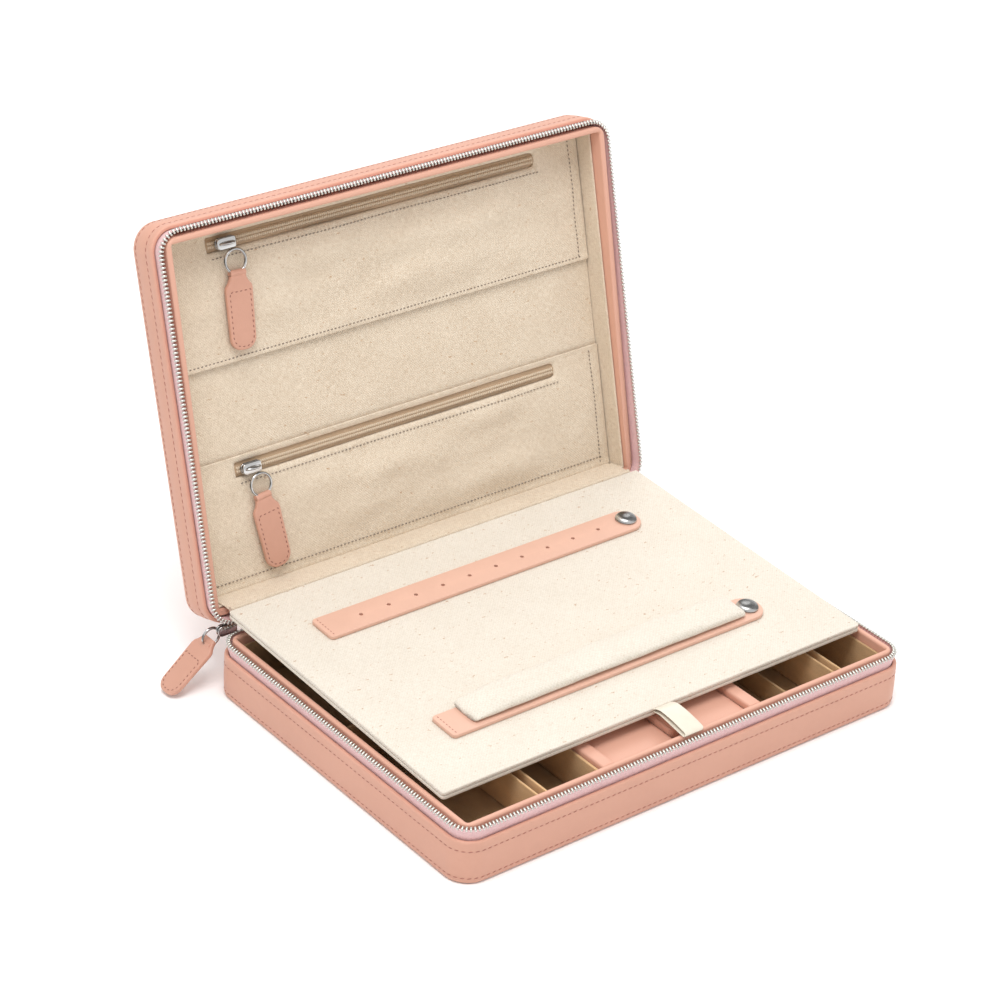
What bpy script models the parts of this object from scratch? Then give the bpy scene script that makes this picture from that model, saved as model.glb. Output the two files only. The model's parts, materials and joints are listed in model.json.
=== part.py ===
"""Travel jewelry case: zip-round leather case, lid held open, cloth-covered flap over a velvet tray.

Metres, +Z up, resting on z = 0. X runs along the width, -Y is the front, +Y the hinge side.
Lid pieces are described in the closed position and then turned open about the hinge.
"""
import math

import bmesh
import bpy
from mathutils import Matrix, Vector

# ---- driving dimensions -------------------------------------------------------------------
WIDTH = 0.260
DEPTH = 0.188
CORNER = 0.012
CORNER_STEPS = 5
BASE_H = 0.0217          # top of the lower leather shell
ZIP_GAP = 0.0138         # both halves of the zip between the two shells
LID_H = 0.0165           # height of the upper leather shell
SHELL_T = 0.0020
FLOOR_T = 0.0025
HINGE_Y = 0.0943
HINGE_Z = 0.0296
OPEN_ANGLE = math.radians(104.8)

RIM_OUT = 0.0045         # inner leather frame, measured in from the outside
RIM_IN = 0.0074
RIM_TOP = 0.0283
TRAY_TOP = 0.0240
TRAY_IN = 0.0077
TRAY_T = 0.0013
DIVIDER_TOP = 0.0235
TRAY_FLOOR = 0.0045

FLAP_HALF = 0.1221
FLAP_PITCH = math.radians(2.33)
FLAP_HINGE = (0.0965, 0.0372)
FLAP_LENGTH = 0.1655     # hinge line to front edge
FLAP_T = 0.0040
FLAP_BEND = 0.0157       # hinge line to the crease the flap lifts about

LID_Z0 = BASE_H + ZIP_GAP
LID_Z1 = LID_Z0 + LID_H
PART_Z = BASE_H + ZIP_GAP / 2
PANEL_Z = 0.0460         # cloth face of the pockets, lid closed

COLOURS = {
    "leather": ((0.80, 0.47, 0.37, 1), 0.55, 0),
    "canvas": ((0.86, 0.80, 0.68, 1), 0.9, 0),
    "velvet": ((0.62, 0.50, 0.34, 1), 0.95, 0),
    "satin": ((0.93, 0.89, 0.80, 1), 0.4, 0),
    "tape": ((0.80, 0.60, 0.62, 1), 0.85, 0),
    "metal": ((0.75, 0.75, 0.76, 1), 0.3, 1),
}

for old in list(bpy.data.objects):
    bpy.data.objects.remove(old, do_unlink=True)

# ---- placing ------------------------------------------------------------------------------
WORLD = Matrix.Identity(4)
HINGE = Vector((0, HINGE_Y, HINGE_Z))
LID = Matrix.Translation(HINGE) @ Matrix.Rotation(-OPEN_ANGLE, 4, "X") @ Matrix.Translation(-HINGE)
FOLD = Vector((0, *FLAP_HINGE))
# flap space: x across, y from the hinge line (negative to the front), z out of the flap's middle
FLAP = Matrix.Translation(FOLD) @ Matrix.Rotation(FLAP_PITCH, 4, "X")


def material(name, kind):
    colour, rough, metal = COLOURS[kind]
    mat = bpy.data.materials.new(f"{kind}_{name}")
    mat.use_nodes = True
    shader = mat.node_tree.nodes["Principled BSDF"]
    shader.inputs["Base Color"].default_value = colour
    shader.inputs["Roughness"].default_value = rough
    shader.inputs["Metallic"].default_value = metal
    mat.diffuse_color = colour
    return mat


def make(name, verts, faces, kind, place=WORLD, origin=(0, 0, 0), smooth=False):
    """One closed body; origin is the world point its own origin sits on."""
    origin = Vector(origin)
    mesh = bpy.data.meshes.new(name)
    mesh.from_pydata([place @ Vector(v) - origin for v in verts], [], faces)
    bm = bmesh.new()
    bm.from_mesh(mesh)
    bmesh.ops.triangulate(bm, faces=[f for f in bm.faces if len(f.verts) > 4])
    bmesh.ops.recalc_face_normals(bm, faces=bm.faces)
    bm.to_mesh(mesh)
    bm.free()
    obj = bpy.data.objects.new(name, mesh)
    obj.location = origin
    bpy.context.scene.collection.objects.link(obj)
    mesh.materials.append(material(name, kind))
    for face in mesh.polygons:
        face.use_smooth = smooth
    return obj


def loop(inset, z, steps=CORNER_STEPS):
    """Rounded rectangle, going round from the back of the left side."""
    r = max(CORNER - inset, 0.0006)
    cx, cy = WIDTH / 2 - inset - r, DEPTH / 2 - inset - r
    points = []
    for sx, sy, start in ((-1, 1, 90), (-1, -1, 180), (1, -1, 270), (1, 1, 0)):
        for k in range(steps + 1):
            a = math.radians(start + 90 * k / steps)
            points.append((sx * cx + r * math.cos(a), sy * cy + r * math.sin(a), z))
    return points


def skin(rings, closed_path=True, closed_ring=True):
    """Faces joining rings of equal length."""
    n = len(rings[0])
    faces = []
    pairs = list(zip(range(len(rings)), range(1, len(rings))))
    if closed_path:
        pairs.append((len(rings) - 1, 0))
    for a, b in pairs:
        for k in range(n if closed_ring else n - 1):
            m = (k + 1) % n
            faces.append((a * n + k, a * n + m, b * n + m, b * n + k))
    return faces


def tray(name, profile, kind, **more):
    """Open box: (inset, z) pairs from the outer floor round to the inner floor."""
    rings = [loop(inset, z) for inset, z in profile]
    n = len(rings[0])
    faces = skin(rings, closed_path=False)
    faces.append(tuple(range(n)))
    faces.append(tuple((len(rings) - 1) * n + k for k in range(n)))
    return make(name, sum(rings, []), faces, kind, **more)


def frame(name, profile, kind, lift=None, **more):
    """Closed band round the case; lift(y, z) may change a height."""
    rings = [loop(inset, z) for inset, z in profile]
    if lift:
        rings = [[(x, y, lift(y, z)) for x, y, z in ring] for ring in rings]
    return make(name, sum(rings, []), skin(rings), kind, **more)


def band(name, profile, kind, tail=0.004, **more):
    """Band along the left, front and right sides that stops just past both back corners."""
    rings = []
    for inset, z in profile:
        ring = loop(inset, z)
        edge = DEPTH / 2 - inset
        rings.append([(ring[0][0] + tail, edge, z)] + ring + [(ring[-1][0] - tail, edge, z)])
    n = len(rings[0])
    faces = skin(rings, closed_path=True, closed_ring=False)
    faces.append(tuple(k * n for k in range(len(rings))))
    faces.append(tuple(k * n + n - 1 for k in range(len(rings))))
    return make(name, sum(rings, []), faces, kind, **more)


def slab(name, outline, z0, z1, kind, **more):
    """Flat piece with the outline given as (x, y) pairs."""
    n = len(outline)
    verts = [(x, y, z0) for x, y in outline] + [(x, y, z1) for x, y in outline]
    faces = [tuple(range(n)), tuple(range(n, 2 * n))]
    faces += [(k, (k + 1) % n, n + (k + 1) % n, n + k) for k in range(n)]
    return make(name, verts, faces, kind, **more)


def block(name, low, high, kind, **more):
    outline = [(low[0], low[1]), (high[0], low[1]), (high[0], high[1]), (low[0], high[1])]
    return slab(name, outline, low[2], high[2], kind, **more)


def arc(cx, cy, r, start, end, steps):
    angles = [math.radians(start + (end - start) * k / steps) for k in range(steps + 1)]
    return [(cx + r * math.cos(a), cy + r * math.sin(a)) for a in angles]


def rounded(x0, y0, x1, y1, radii, steps=4):
    """Rectangle outline with corner radii for (x1, y0), (x1, y1), (x0, y1), (x0, y0)."""
    corners = ((x1, y0, -1, 1, 270), (x1, y1, -1, -1, 0), (x0, y1, 1, -1, 90), (x0, y0, 1, 1, 180))
    points = []
    for (x, y, sx, sy, start), r in zip(corners, radii):
        points += arc(x + sx * r, y + sy * r, r, start, start + 90, steps)
    return points


def lathe(name, profile, centre, kind, steps=16, **more):
    """Round piece about its local z axis: (radius, z) pairs, first and last on the axis."""
    cx, cy, cz = centre
    verts = [(cx, cy, cz + profile[0][1])]
    for r, z in profile[1:-1]:
        for k in range(steps):
            a = 2 * math.pi * k / steps
            verts.append((cx + r * math.cos(a), cy + r * math.sin(a), cz + z))
    verts.append((cx, cy, cz + profile[-1][1]))
    rows = len(profile) - 2
    faces = [(0, 1 + k, 1 + (k + 1) % steps) for k in range(steps)]
    for row in range(rows - 1):
        a, b = 1 + row * steps, 1 + (row + 1) * steps
        faces += [(a + k, b + k, b + (k + 1) % steps, a + (k + 1) % steps) for k in range(steps)]
    a = 1 + (rows - 1) * steps
    faces += [(a + (k + 1) % steps, a + k, len(verts) - 1) for k in range(steps)]
    return make(name, verts, faces, kind, smooth=True, **more)


def ring(name, centre, radius, wire, normal, kind, steps=16, round_steps=6, **more):
    """Wire ring; normal is 'Y' or 'Z'."""
    verts = []
    for j in range(steps):
        a = 2 * math.pi * j / steps
        for k in range(round_steps):
            b = 2 * math.pi * k / round_steps
            out, up = radius + wire * math.cos(b), wire * math.sin(b)
            u, v = out * math.cos(a), out * math.sin(a)
            verts.append((u, v, up) if normal == "Z" else (u, up, v))
    verts = [tuple(c + d for c, d in zip(centre, v)) for v in verts]
    faces = []
    for j in range(steps):
        for k in range(round_steps):
            i, m = (j + 1) % steps, (k + 1) % round_steps
            faces.append((j * round_steps + k, j * round_steps + m, i * round_steps + m, i * round_steps + k))
    return make(name, verts, faces, kind, smooth=True, **more)


def cut(target, cutters):
    """Cuts the cutters out of the target and leaves them as wire guides."""
    for cutter in cutters:
        mod = target.modifiers.new(f"cut_{cutter.name}", "BOOLEAN")
        mod.operation = "DIFFERENCE"
        mod.solver = "EXACT"
        mod.object = cutter
        cutter.hide_render = True
        cutter.display_type = "WIRE"


def shell_profile(rim, floor_in, floor_out, edge):
    """Outer floor, rounded edge, wall, rim, inner wall, inner floor."""
    s = 1 if rim > floor_out else -1
    return [
        (edge, floor_out),
        (edge * 0.3, floor_out + s * edge * 0.3),
        (0, floor_out + s * edge),
        (0, rim - s * 0.0005),
        (0.0005, rim),
        (SHELL_T - 0.0004, rim),
        (SHELL_T, rim - s * 0.0005),
        (SHELL_T, floor_in),
    ]


# ---- lower half ---------------------------------------------------------------------------
tray("base_shell", shell_profile(BASE_H, FLOOR_T, 0.0, 0.0016), "leather")
band(
    "base_zip_tape",
    [(0.0023, 0.0130), (0.0023, 0.0218), (0.0012, 0.0255), (0.0012, 0.0264),
     (0.0020, 0.0264), (0.0020, 0.0256), (0.0031, 0.0219), (0.0031, 0.0130)],
    "tape",
)
band(
    "base_zip_teeth",
    [(0.0007, 0.0268), (0.0007, 0.0280), (0.0012, 0.0284), (0.0020, 0.0284), (0.0025, 0.0280),
     (0.0025, 0.0268)],
    "metal",
)
block("base_spine", (-0.108, 0.0905, 0.0130), (0.108, 0.0917, 0.0275), "leather")
frame(
    "base_inner_frame",
    [(RIM_OUT, 0.0028), (RIM_OUT, RIM_TOP - 0.0010), (RIM_OUT + 0.0004, RIM_TOP - 0.0002),
     (RIM_OUT + 0.0011, RIM_TOP), (RIM_IN - 0.0011, RIM_TOP), (RIM_IN - 0.0004, RIM_TOP - 0.0002),
     (RIM_IN, RIM_TOP - 0.0010), (RIM_IN, 0.0028)],
    "leather",
)
tray(
    "tray_insert",
    [(TRAY_IN, 0.0028), (TRAY_IN, TRAY_TOP), (TRAY_IN + TRAY_T, TRAY_TOP), (TRAY_IN + TRAY_T, TRAY_FLOOR)],
    "velvet",
)

# tray dividers stand on the tray floor; y limits leave the tray walls free
FRONT_Y = -DEPTH / 2 + TRAY_IN + TRAY_T + 0.0003
BACK_Y = -FRONT_Y
SIDE_X = WIDTH / 2 - TRAY_IN - TRAY_T - 0.0003
STAND = TRAY_FLOOR + 0.0003
CROSS_Y = 0.0050
CROSS_T = 0.0016
DIVIDERS = {
    "divider_cross": (-SIDE_X, SIDE_X, CROSS_Y - CROSS_T / 2, CROSS_Y + CROSS_T / 2, DIVIDER_TOP),
    "divider_left_outer": (-0.0815, -0.0803, FRONT_Y, CROSS_Y - CROSS_T / 2 - 0.0003, DIVIDER_TOP),
    "divider_left_inner": (-0.0765, -0.0753, FRONT_Y, CROSS_Y - CROSS_T / 2 - 0.0003, DIVIDER_TOP),
    "divider_centre_left": (-0.0483, -0.0468, FRONT_Y, CROSS_Y - CROSS_T / 2 - 0.0003, DIVIDER_TOP),
    "divider_centre_right": (0.0468, 0.0483, FRONT_Y, CROSS_Y - CROSS_T / 2 - 0.0003, DIVIDER_TOP),
    "divider_low": (0.0713, 0.0727, FRONT_Y, CROSS_Y - CROSS_T / 2 - 0.0003, 0.0160),
    "divider_right_inner": (0.0930, 0.0942, FRONT_Y, CROSS_Y - CROSS_T / 2 - 0.0003, DIVIDER_TOP),
    "divider_right_outer": (0.0977, 0.0989, FRONT_Y, CROSS_Y - CROSS_T / 2 - 0.0003, DIVIDER_TOP),
    "divider_back_left": (-0.0483, -0.0468, CROSS_Y + CROSS_T / 2 + 0.0003, BACK_Y, DIVIDER_TOP),
    "divider_back_right": (0.0468, 0.0483, CROSS_Y + CROSS_T / 2 + 0.0003, BACK_Y, DIVIDER_TOP),
}
for name, (x0, x1, y0, y1, top) in DIVIDERS.items():
    block(name, (x0, y0, STAND), (x1, y1, top), "velvet")

# leather-covered middle block with two sunk fields and a bar between them
MID_X = 0.0465
MID_Y0 = FRONT_Y
MID_Y1 = CROSS_Y - CROSS_T / 2 - 0.0003
block("centre_block", (-MID_X, MID_Y0, STAND), (MID_X, MID_Y1, 0.0205), "leather")
BORDER = 0.0070
BAR = 0.0030
for side in (-1, 1):
    name = "left" if side < 0 else "right"
    x0, x1 = sorted((side * MID_X, side * (MID_X - BORDER)))
    slab(f"centre_border_{name}", rounded(x0, MID_Y0, x1, MID_Y1, [0.001] * 4, 2), 0.0208, 0.0256, "leather")
    x0, x1 = sorted((side * (MID_X - BORDER - 0.0003), side * (BAR + 0.0003)))
    block(f"centre_panel_{name}", (x0, MID_Y0, 0.0208), (x1, MID_Y1, 0.0228), "leather")
slab("centre_bar", rounded(-BAR, MID_Y0 + 0.005, BAR, MID_Y1, [0.0028, 0.001, 0.001, 0.0028], 4),
     0.0208, 0.0256, "leather")

# ---- zip slider of the case, parked behind the back left corner ------------------------------
CASE_ZIP = (-0.1213, 0.0965, 0.0279)
block("case_zip_slider", (-0.1250, 0.0948, 0.0262), (-0.1176, 0.0982, 0.0296), "metal", origin=CASE_ZIP)
CASE_RING_R = 0.0045
CASE_RING = (-0.1268, 0.1014, 0.0228)
WIRE = 0.0007
ring("case_zip_ring", CASE_RING, CASE_RING_R, WIRE, "Y", "metal", origin=CASE_ZIP)
# the tab turns where the ring passes through its slotted end
LOW_LEFT = CASE_RING_R * math.sqrt(0.5)
TAB_AXIS = (CASE_RING[0] - LOW_LEFT, CASE_RING[1], CASE_RING[2] - LOW_LEFT)
TAB_REACH = 0.0285
TAB_HALF = 0.0067
TAB_T = 0.0024
TAB_SLOPE = math.asin((TAB_AXIS[2] - 0.0015) / TAB_REACH)


def tab_outline(reach, half, notch=0.0):
    """Tab along +x from just behind its axis, shoulders narrowing to the ring end."""
    tip = arc(reach - 0.0055, -half + 0.0065, 0.0055, 280, 360, 4)
    top = [(x, -y) for x, y in reversed(tip)]
    lower = [(-0.0036, -half * 0.62), (0.0015, -half * 0.70), (0.0050, -half * 0.97)]
    upper = [(x, -y) for x, y in reversed(lower)]
    slot = [(-0.0036, notch), (0.0042, notch), (0.0042, -notch), (-0.0036, -notch)] if notch else []
    return lower + tip + top + upper + slot


TAB = (
    Matrix.Translation(Vector(TAB_AXIS))
    @ Matrix.Rotation(math.pi, 4, "Z")
    @ Matrix.Rotation(TAB_SLOPE, 4, "Y")
)
slab("case_zip_pull", tab_outline(TAB_REACH, TAB_HALF, 0.0012), -TAB_T / 2, TAB_T / 2, "leather",
     place=TAB, origin=TAB_AXIS)

# ---- upper half, drawn closed and turned open ------------------------------------------------
LID_MORE = {"place": LID, "origin": HINGE}
tray("lid_shell", shell_profile(LID_Z0, LID_Z1 - FLOOR_T, LID_Z1, 0.0016), "leather", **LID_MORE)


def mirrored(profile):
    return [(inset, 2 * PART_Z - z) for inset, z in profile]


band(
    "lid_zip_tape",
    mirrored([(0.0023, 0.0150), (0.0023, 0.0218), (0.0012, 0.0255), (0.0012, 0.0264),
              (0.0020, 0.0264), (0.0020, 0.0256), (0.0031, 0.0219), (0.0031, 0.0150)]),
    "tape", **LID_MORE,
)
band(
    "lid_zip_teeth",
    mirrored([(0.0007, 0.0268), (0.0007, 0.0280), (0.0012, 0.0284), (0.0020, 0.0284),
              (0.0025, 0.0280), (0.0025, 0.0268)]),
    "metal", **LID_MORE,
)
block("lid_spine", (-0.108, 0.0905, 0.0297), (0.108, 0.0917, 0.0421), "leather", **LID_MORE)
LID_IN = LID_Z1 - FLOOR_T - 0.0003
LID_CREST = 2 * PART_Z - RIM_TOP


def clear_back(y, z):
    """The lid frame is cut back along the hinge side, where the flap's cloth passes."""
    return max(z, 0.0345) if y > 0.0835 else z


frame(
    "lid_inner_frame",
    [(RIM_OUT, LID_IN), (RIM_OUT, LID_CREST + 0.0010), (RIM_OUT + 0.0004, LID_CREST + 0.0002),
     (RIM_OUT + 0.0011, LID_CREST), (RIM_IN - 0.0011, LID_CREST), (RIM_IN - 0.0004, LID_CREST + 0.0002),
     (RIM_IN, LID_CREST + 0.0010), (RIM_IN, LID_IN)],
    "leather", lift=lambda y, z: clear_back(y, z), **LID_MORE,
)
frame(
    "lid_lining",
    [(TRAY_IN, 0.0363), (TRAY_IN + 0.0010, 0.0363), (TRAY_IN + 0.0010, LID_IN), (TRAY_IN, LID_IN)],
    "canvas", **LID_MORE,
)
LINE_X = WIDTH / 2 - TRAY_IN - 0.0013
LINE_Y = DEPTH / 2 - TRAY_IN - 0.0013
LINE_R = CORNER - TRAY_IN - 0.0010
slab("lid_backing", rounded(-LINE_X, -LINE_Y, LINE_X, LINE_Y, [LINE_R] * 4), PANEL_Z + 0.0018, LID_IN,
     "canvas", **LID_MORE)

# two zipped pockets: a cloth face with a slot, the zip tape in the slot, and its coil
SLOT_HALF = 0.0038
RING_R = 0.0055
POCKETS = {
    "upper": {"y": (-LINE_Y, -0.0218), "zip": -0.0775, "x": (-0.0950, 0.0935), "slider": -0.0860, "tilt": -3},
    "lower": {"y": (0.0216, LINE_Y), "zip": 0.0285, "x": (-0.0965, 0.0920), "slider": -0.0890, "tilt": 7},
}
for pocket, p in POCKETS.items():
    zy = p["zip"]
    x0, x1 = p["x"]
    ends = [LINE_R, 0.0008, 0.0008, LINE_R] if pocket == "upper" else [0.0008, LINE_R, LINE_R, 0.0008]
    face = slab(f"{pocket}_pocket", rounded(-LINE_X, p["y"][0], LINE_X, p["y"][1], ends),
                PANEL_Z, PANEL_Z + 0.0015, "canvas", **LID_MORE)
    slot = slab(f"{pocket}_slot_cutter", rounded(x0, zy - SLOT_HALF, x1, zy + SLOT_HALF,
                [0.0030, 0.0030, 0.0010, 0.0010], 3), PANEL_Z - 0.002, PANEL_Z + 0.003, "canvas", **LID_MORE)
    cut(face, [slot])
    inner = 0.0003
    slab(f"{pocket}_zip_tape", rounded(x0 + inner, zy - SLOT_HALF + inner, x1 - inner, zy + SLOT_HALF - inner,
         [0.0027, 0.0027, 0.0007, 0.0007], 3), PANEL_Z + 0.0004, PANEL_Z + 0.0014, "canvas", **LID_MORE)
    block(f"{pocket}_zip_coil", (x0 + 0.002, zy - 0.0010, PANEL_Z - 0.0008),
          (x1 - 0.003, zy + 0.0010, PANEL_Z + 0.0001), "canvas", **LID_MORE)
    sx = p["slider"]
    at = LID @ Vector((sx, zy, PANEL_Z - 0.0026))
    slab(f"{pocket}_zip_slider", rounded(sx - 0.0045, zy - 0.0025, sx + 0.0040, zy + 0.0025, [0.0008] * 4, 2),
         PANEL_Z - 0.0042, PANEL_Z - 0.0011, "metal", place=LID, origin=at)
    hoop = (sx + 0.0030, zy + 0.0025 + 0.0003 + RING_R + WIRE, PANEL_Z - 0.0030)
    ring(f"{pocket}_zip_ring", hoop, RING_R, WIRE, "Z", "metal", place=LID, origin=at)
    swing = (hoop[0], hoop[1] + RING_R, hoop[2])
    turn = (
        LID @ Matrix.Translation(Vector(swing)) @ Matrix.Rotation(math.radians(90 - p["tilt"]), 4, "Z")
        @ Matrix.Translation(Vector((0.0048, 0, 0)))
    )
    slab(f"{pocket}_zip_pull", tab_outline(0.0310, TAB_HALF), -TAB_T / 2, TAB_T / 2, "leather",
         place=turn, origin=LID @ Vector(swing))

# ---- flap over the tray ------------------------------------------------------------------------
# joining cloth: a rounded back edge at the hinge line, then a flat strip forward to the crease
side = [(-FLAP_BEND + 0.0003, -0.0018), (-0.0030, -0.0018)]
side += [(0.0012 * math.cos(math.radians(a)), 0.0012 * math.sin(math.radians(a))) for a in range(-90, 91, 30)]
side += [(-0.0030, 0.0018), (-FLAP_BEND + 0.0003, 0.0018)]
n = len(side)
verts = [(x, y, z) for x in (-0.1190, 0.1190) for y, z in side]
faces = [tuple(range(n)), tuple(range(n, 2 * n))]
faces += [(k, (k + 1) % n, n + (k + 1) % n, n + k) for k in range(n)]
make("flap_cloth_fold", verts, faces, "canvas", place=FLAP, origin=FOLD)

# two boards that lift about a crease along their back top edge
BEND_AT = FLAP @ Vector((0, -FLAP_BEND, FLAP_T / 2))
FLAP_MORE = {"place": FLAP, "origin": BEND_AT}
FLAP_OUT = rounded(-FLAP_HALF, -FLAP_LENGTH, FLAP_HALF, -FLAP_BEND, [0.0015, 0.0010, 0.0003, 0.0003], 2)
slab("flap_upper_board", FLAP_OUT, 0.00015, FLAP_T / 2, "canvas", **FLAP_MORE)
slab("flap_lower_board", FLAP_OUT, -FLAP_T / 2, -0.00015, "canvas", **FLAP_MORE)

# ribbon loop at the front edge, folding about its sewn end
RIBBON_AT = FLAP @ Vector((0, -FLAP_LENGTH - 0.0003, 0.0028))
RIBBON = Matrix.Translation(RIBBON_AT) @ Matrix.Rotation(math.radians(9.5), 4, "X")
block("flap_ribbon", (-0.0054, -0.0222, -0.0005), (0.0054, -0.0004, 0.0005), "satin", place=RIBBON,
      origin=RIBBON_AT)

# two straps lie across the flap: one with earring holes, one under a padded ring roll
TOP = FLAP_T / 2 + 0.0003
STRAP_T = 0.0018
STRAPS = {
    "earring": {"y": 0.1265 - FLAP_LENGTH, "x": (-0.0963, 0.0917), "half": 0.0085},
    "ring": {"y": 0.0367 - FLAP_LENGTH, "x": (-0.0951, 0.0907), "half": 0.0086},
}
SEWN = 0.0125
for strap, s in STRAPS.items():
    x0, x1 = s["x"]
    y, h = s["y"], s["half"]
    split = x0 + SEWN
    slab(f"{strap}_strap_end", rounded(x0, y - h, split - 0.0007, y + h, [0.0004, 0.0004, 0.0025, 0.0025], 3),
         TOP, TOP + STRAP_T, "leather", **FLAP_MORE)
    pivot = FLAP @ Vector((split, y, TOP))
    strap_more = {"place": FLAP, "origin": pivot}
    outline = rounded(split + 0.00015, y - h, x1, y + h, [h * 0.98, h * 0.98, 0.0004, 0.0004], 6)
    body = slab(f"{strap}_strap", outline, TOP, TOP + STRAP_T, "leather", **strap_more)
    if strap == "earring":
        pins = []
        for k in range(10):
            x = -0.0740 + k * 0.01567
            hole = [(x + 0.0011 * math.cos(a), y + 0.0011 * math.sin(a)) for a in
                    (2 * math.pi * j / 8 for j in range(8))]
            pins.append(slab(f"hole_cutter_{k + 1}", hole, TOP - 0.002, TOP + 0.004, "leather", **strap_more))
        cut(body, pins)
    lathe(f"{strap}_snap_cap",
          [(0, TOP + STRAP_T + 0.0002), (0.0045, TOP + STRAP_T + 0.0002), (0.0052, TOP + STRAP_T + 0.0006),
           (0.0049, TOP + STRAP_T + 0.0013), (0.0035, TOP + STRAP_T + 0.0024),
           (0.0016, TOP + STRAP_T + 0.0030), (0, TOP + STRAP_T + 0.0031)],
          (x1 - 0.0072, y, 0), "metal", **strap_more)

# padded roll, crowned and closed to a soft edge at both ends
s = STRAPS["ring"]
ROLL_X = (-0.0788, 0.0776)
ROLL_HALF = 0.0075
ROLL_H = 0.0070
ROLL_Z = TOP + STRAP_T + 0.0003
SECTION = 16
pivot = FLAP @ Vector((s["x"][0] + SEWN, s["y"], TOP))
rings = []
for along, size in ((0, 0.62), (0.0015, 0.86), (0.0045, 1.0), (1, 1.0)):
    rings.append((ROLL_X[0] + along if along < 1 else 0, size))
rings += [(ROLL_X[1] - 0.0045, 1.0), (ROLL_X[1] - 0.0015, 0.86), (ROLL_X[1], 0.62)]
verts = []
for x, size in rings:
    for k in range(SECTION):
        a = 2 * math.pi * k / SECTION
        c, d = math.cos(a), math.sin(a)
        u = math.copysign(abs(c) ** 0.8, c) * ROLL_HALF * (0.55 + 0.45 * size)
        w = math.copysign(abs(d) ** 0.8, d) * ROLL_H / 2 * size
        verts.append((x, s["y"] + u, ROLL_Z + ROLL_H / 2 * size + w))
n = len(rings)
faces = [tuple(range(SECTION)), tuple((n - 1) * SECTION + k for k in range(SECTION))]
for j in range(n - 1):
    for k in range(SECTION):
        m = (k + 1) % SECTION
        faces.append((j * SECTION + k, j * SECTION + m, (j + 1) * SECTION + m, (j + 1) * SECTION + k))
make("ring_roll", verts, faces, "canvas", place=FLAP, origin=pivot, smooth=True)
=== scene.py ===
"""Travel jewelry case: leather shells, zips, cloth, velvet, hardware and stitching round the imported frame.

Metres, +Z up, -Y is the front. Lid pieces are drawn closed and turned open by LID, flap pieces by FLAP.
"""
import json
import math

import bmesh
import bpy
from mathutils import Matrix, Vector, noise

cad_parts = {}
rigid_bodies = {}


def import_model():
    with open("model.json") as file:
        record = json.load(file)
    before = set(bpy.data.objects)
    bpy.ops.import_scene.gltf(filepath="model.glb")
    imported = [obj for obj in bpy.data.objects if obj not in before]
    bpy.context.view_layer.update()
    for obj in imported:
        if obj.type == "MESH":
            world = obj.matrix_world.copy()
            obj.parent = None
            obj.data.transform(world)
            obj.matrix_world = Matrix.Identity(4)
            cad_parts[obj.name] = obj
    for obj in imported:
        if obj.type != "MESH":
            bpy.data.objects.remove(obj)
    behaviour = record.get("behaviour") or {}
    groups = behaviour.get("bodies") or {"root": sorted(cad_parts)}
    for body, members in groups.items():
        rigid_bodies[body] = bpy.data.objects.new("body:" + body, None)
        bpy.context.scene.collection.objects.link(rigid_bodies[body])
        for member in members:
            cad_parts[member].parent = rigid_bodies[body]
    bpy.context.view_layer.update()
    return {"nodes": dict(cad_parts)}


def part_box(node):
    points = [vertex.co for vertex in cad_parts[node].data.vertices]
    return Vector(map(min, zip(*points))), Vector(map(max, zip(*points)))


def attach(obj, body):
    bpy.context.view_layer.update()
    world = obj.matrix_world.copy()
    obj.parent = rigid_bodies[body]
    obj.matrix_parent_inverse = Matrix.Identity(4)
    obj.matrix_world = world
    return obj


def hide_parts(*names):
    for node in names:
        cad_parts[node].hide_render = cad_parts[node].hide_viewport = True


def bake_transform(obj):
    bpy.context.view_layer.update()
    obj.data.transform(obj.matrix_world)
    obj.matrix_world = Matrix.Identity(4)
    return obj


bl_info = {
    "name": "Travel Jewelry Case",
    "version": (1, 0, 0),
    "blender": (4, 5, 0),
    "location": "View3D > Sidebar > Jewelry Case",
    "description": "Builds the leather, cloth, velvet and metal pieces of a travel jewelry case",
    "category": "Object",
}

for old in list(bpy.data.objects):
    bpy.data.objects.remove(old, do_unlink=True)
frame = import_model()

# ---- the case's own dimensions --------------------------------------------------------------
# shells, the hinge and the inner frames
WIDTH = 0.260
DEPTH = 0.188
CORNER = 0.012
BASE_H = 0.0217
LID_Z0 = 0.0355
LID_Z1 = 0.0520
PART_Z = 0.0286
HINGE = Vector((0, 0.0943, 0.0296))
OPEN_ANGLE = math.radians(104.8)
RIM_OUT = 0.0045
RIM_IN = 0.0074
RIM_TOP = 0.0283
TRAY_IN = 0.0077
TRAY_FLOOR = 0.0045
SHELL_T = 0.0025
BASE_SEAMS = (0.0030, 0.0168)
LID_SEAMS = (0.0490, 0.0404)
TAPE_END = 0.004
TOOTH_Z = 0.0273
# lid lining, pockets and pulls
PANEL_Z = 0.0460
LID_IN = 0.0492
LINE_X = 0.1210
LINE_Y = 0.0850
SLOT_HALF = 0.0038
RING_R = 0.0055
WIRE = 0.0007
TAB_HALF = 0.0072
TAB_T = 0.0024
PULL_REACH = 0.0310
PULL_TRAVEL = 0.1725
CASE_PULL_REACH = 0.0285
# flap, straps and ribbon
FLAP_HALF = 0.1221
FLAP_PITCH = math.radians(2.33)
FOLD = Vector((0, 0.0965, 0.0372))
FLAP_LENGTH = 0.1655
STRAP_Z = 0.0023
STRAP_T = 0.0018
SEWN = 0.0125
HOLES = 10
HOLE_X = -0.0740
HOLE_PITCH = 0.01567
HOLE_R = 0.0010
ROLL_X = (-0.0822, 0.0780)
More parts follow.
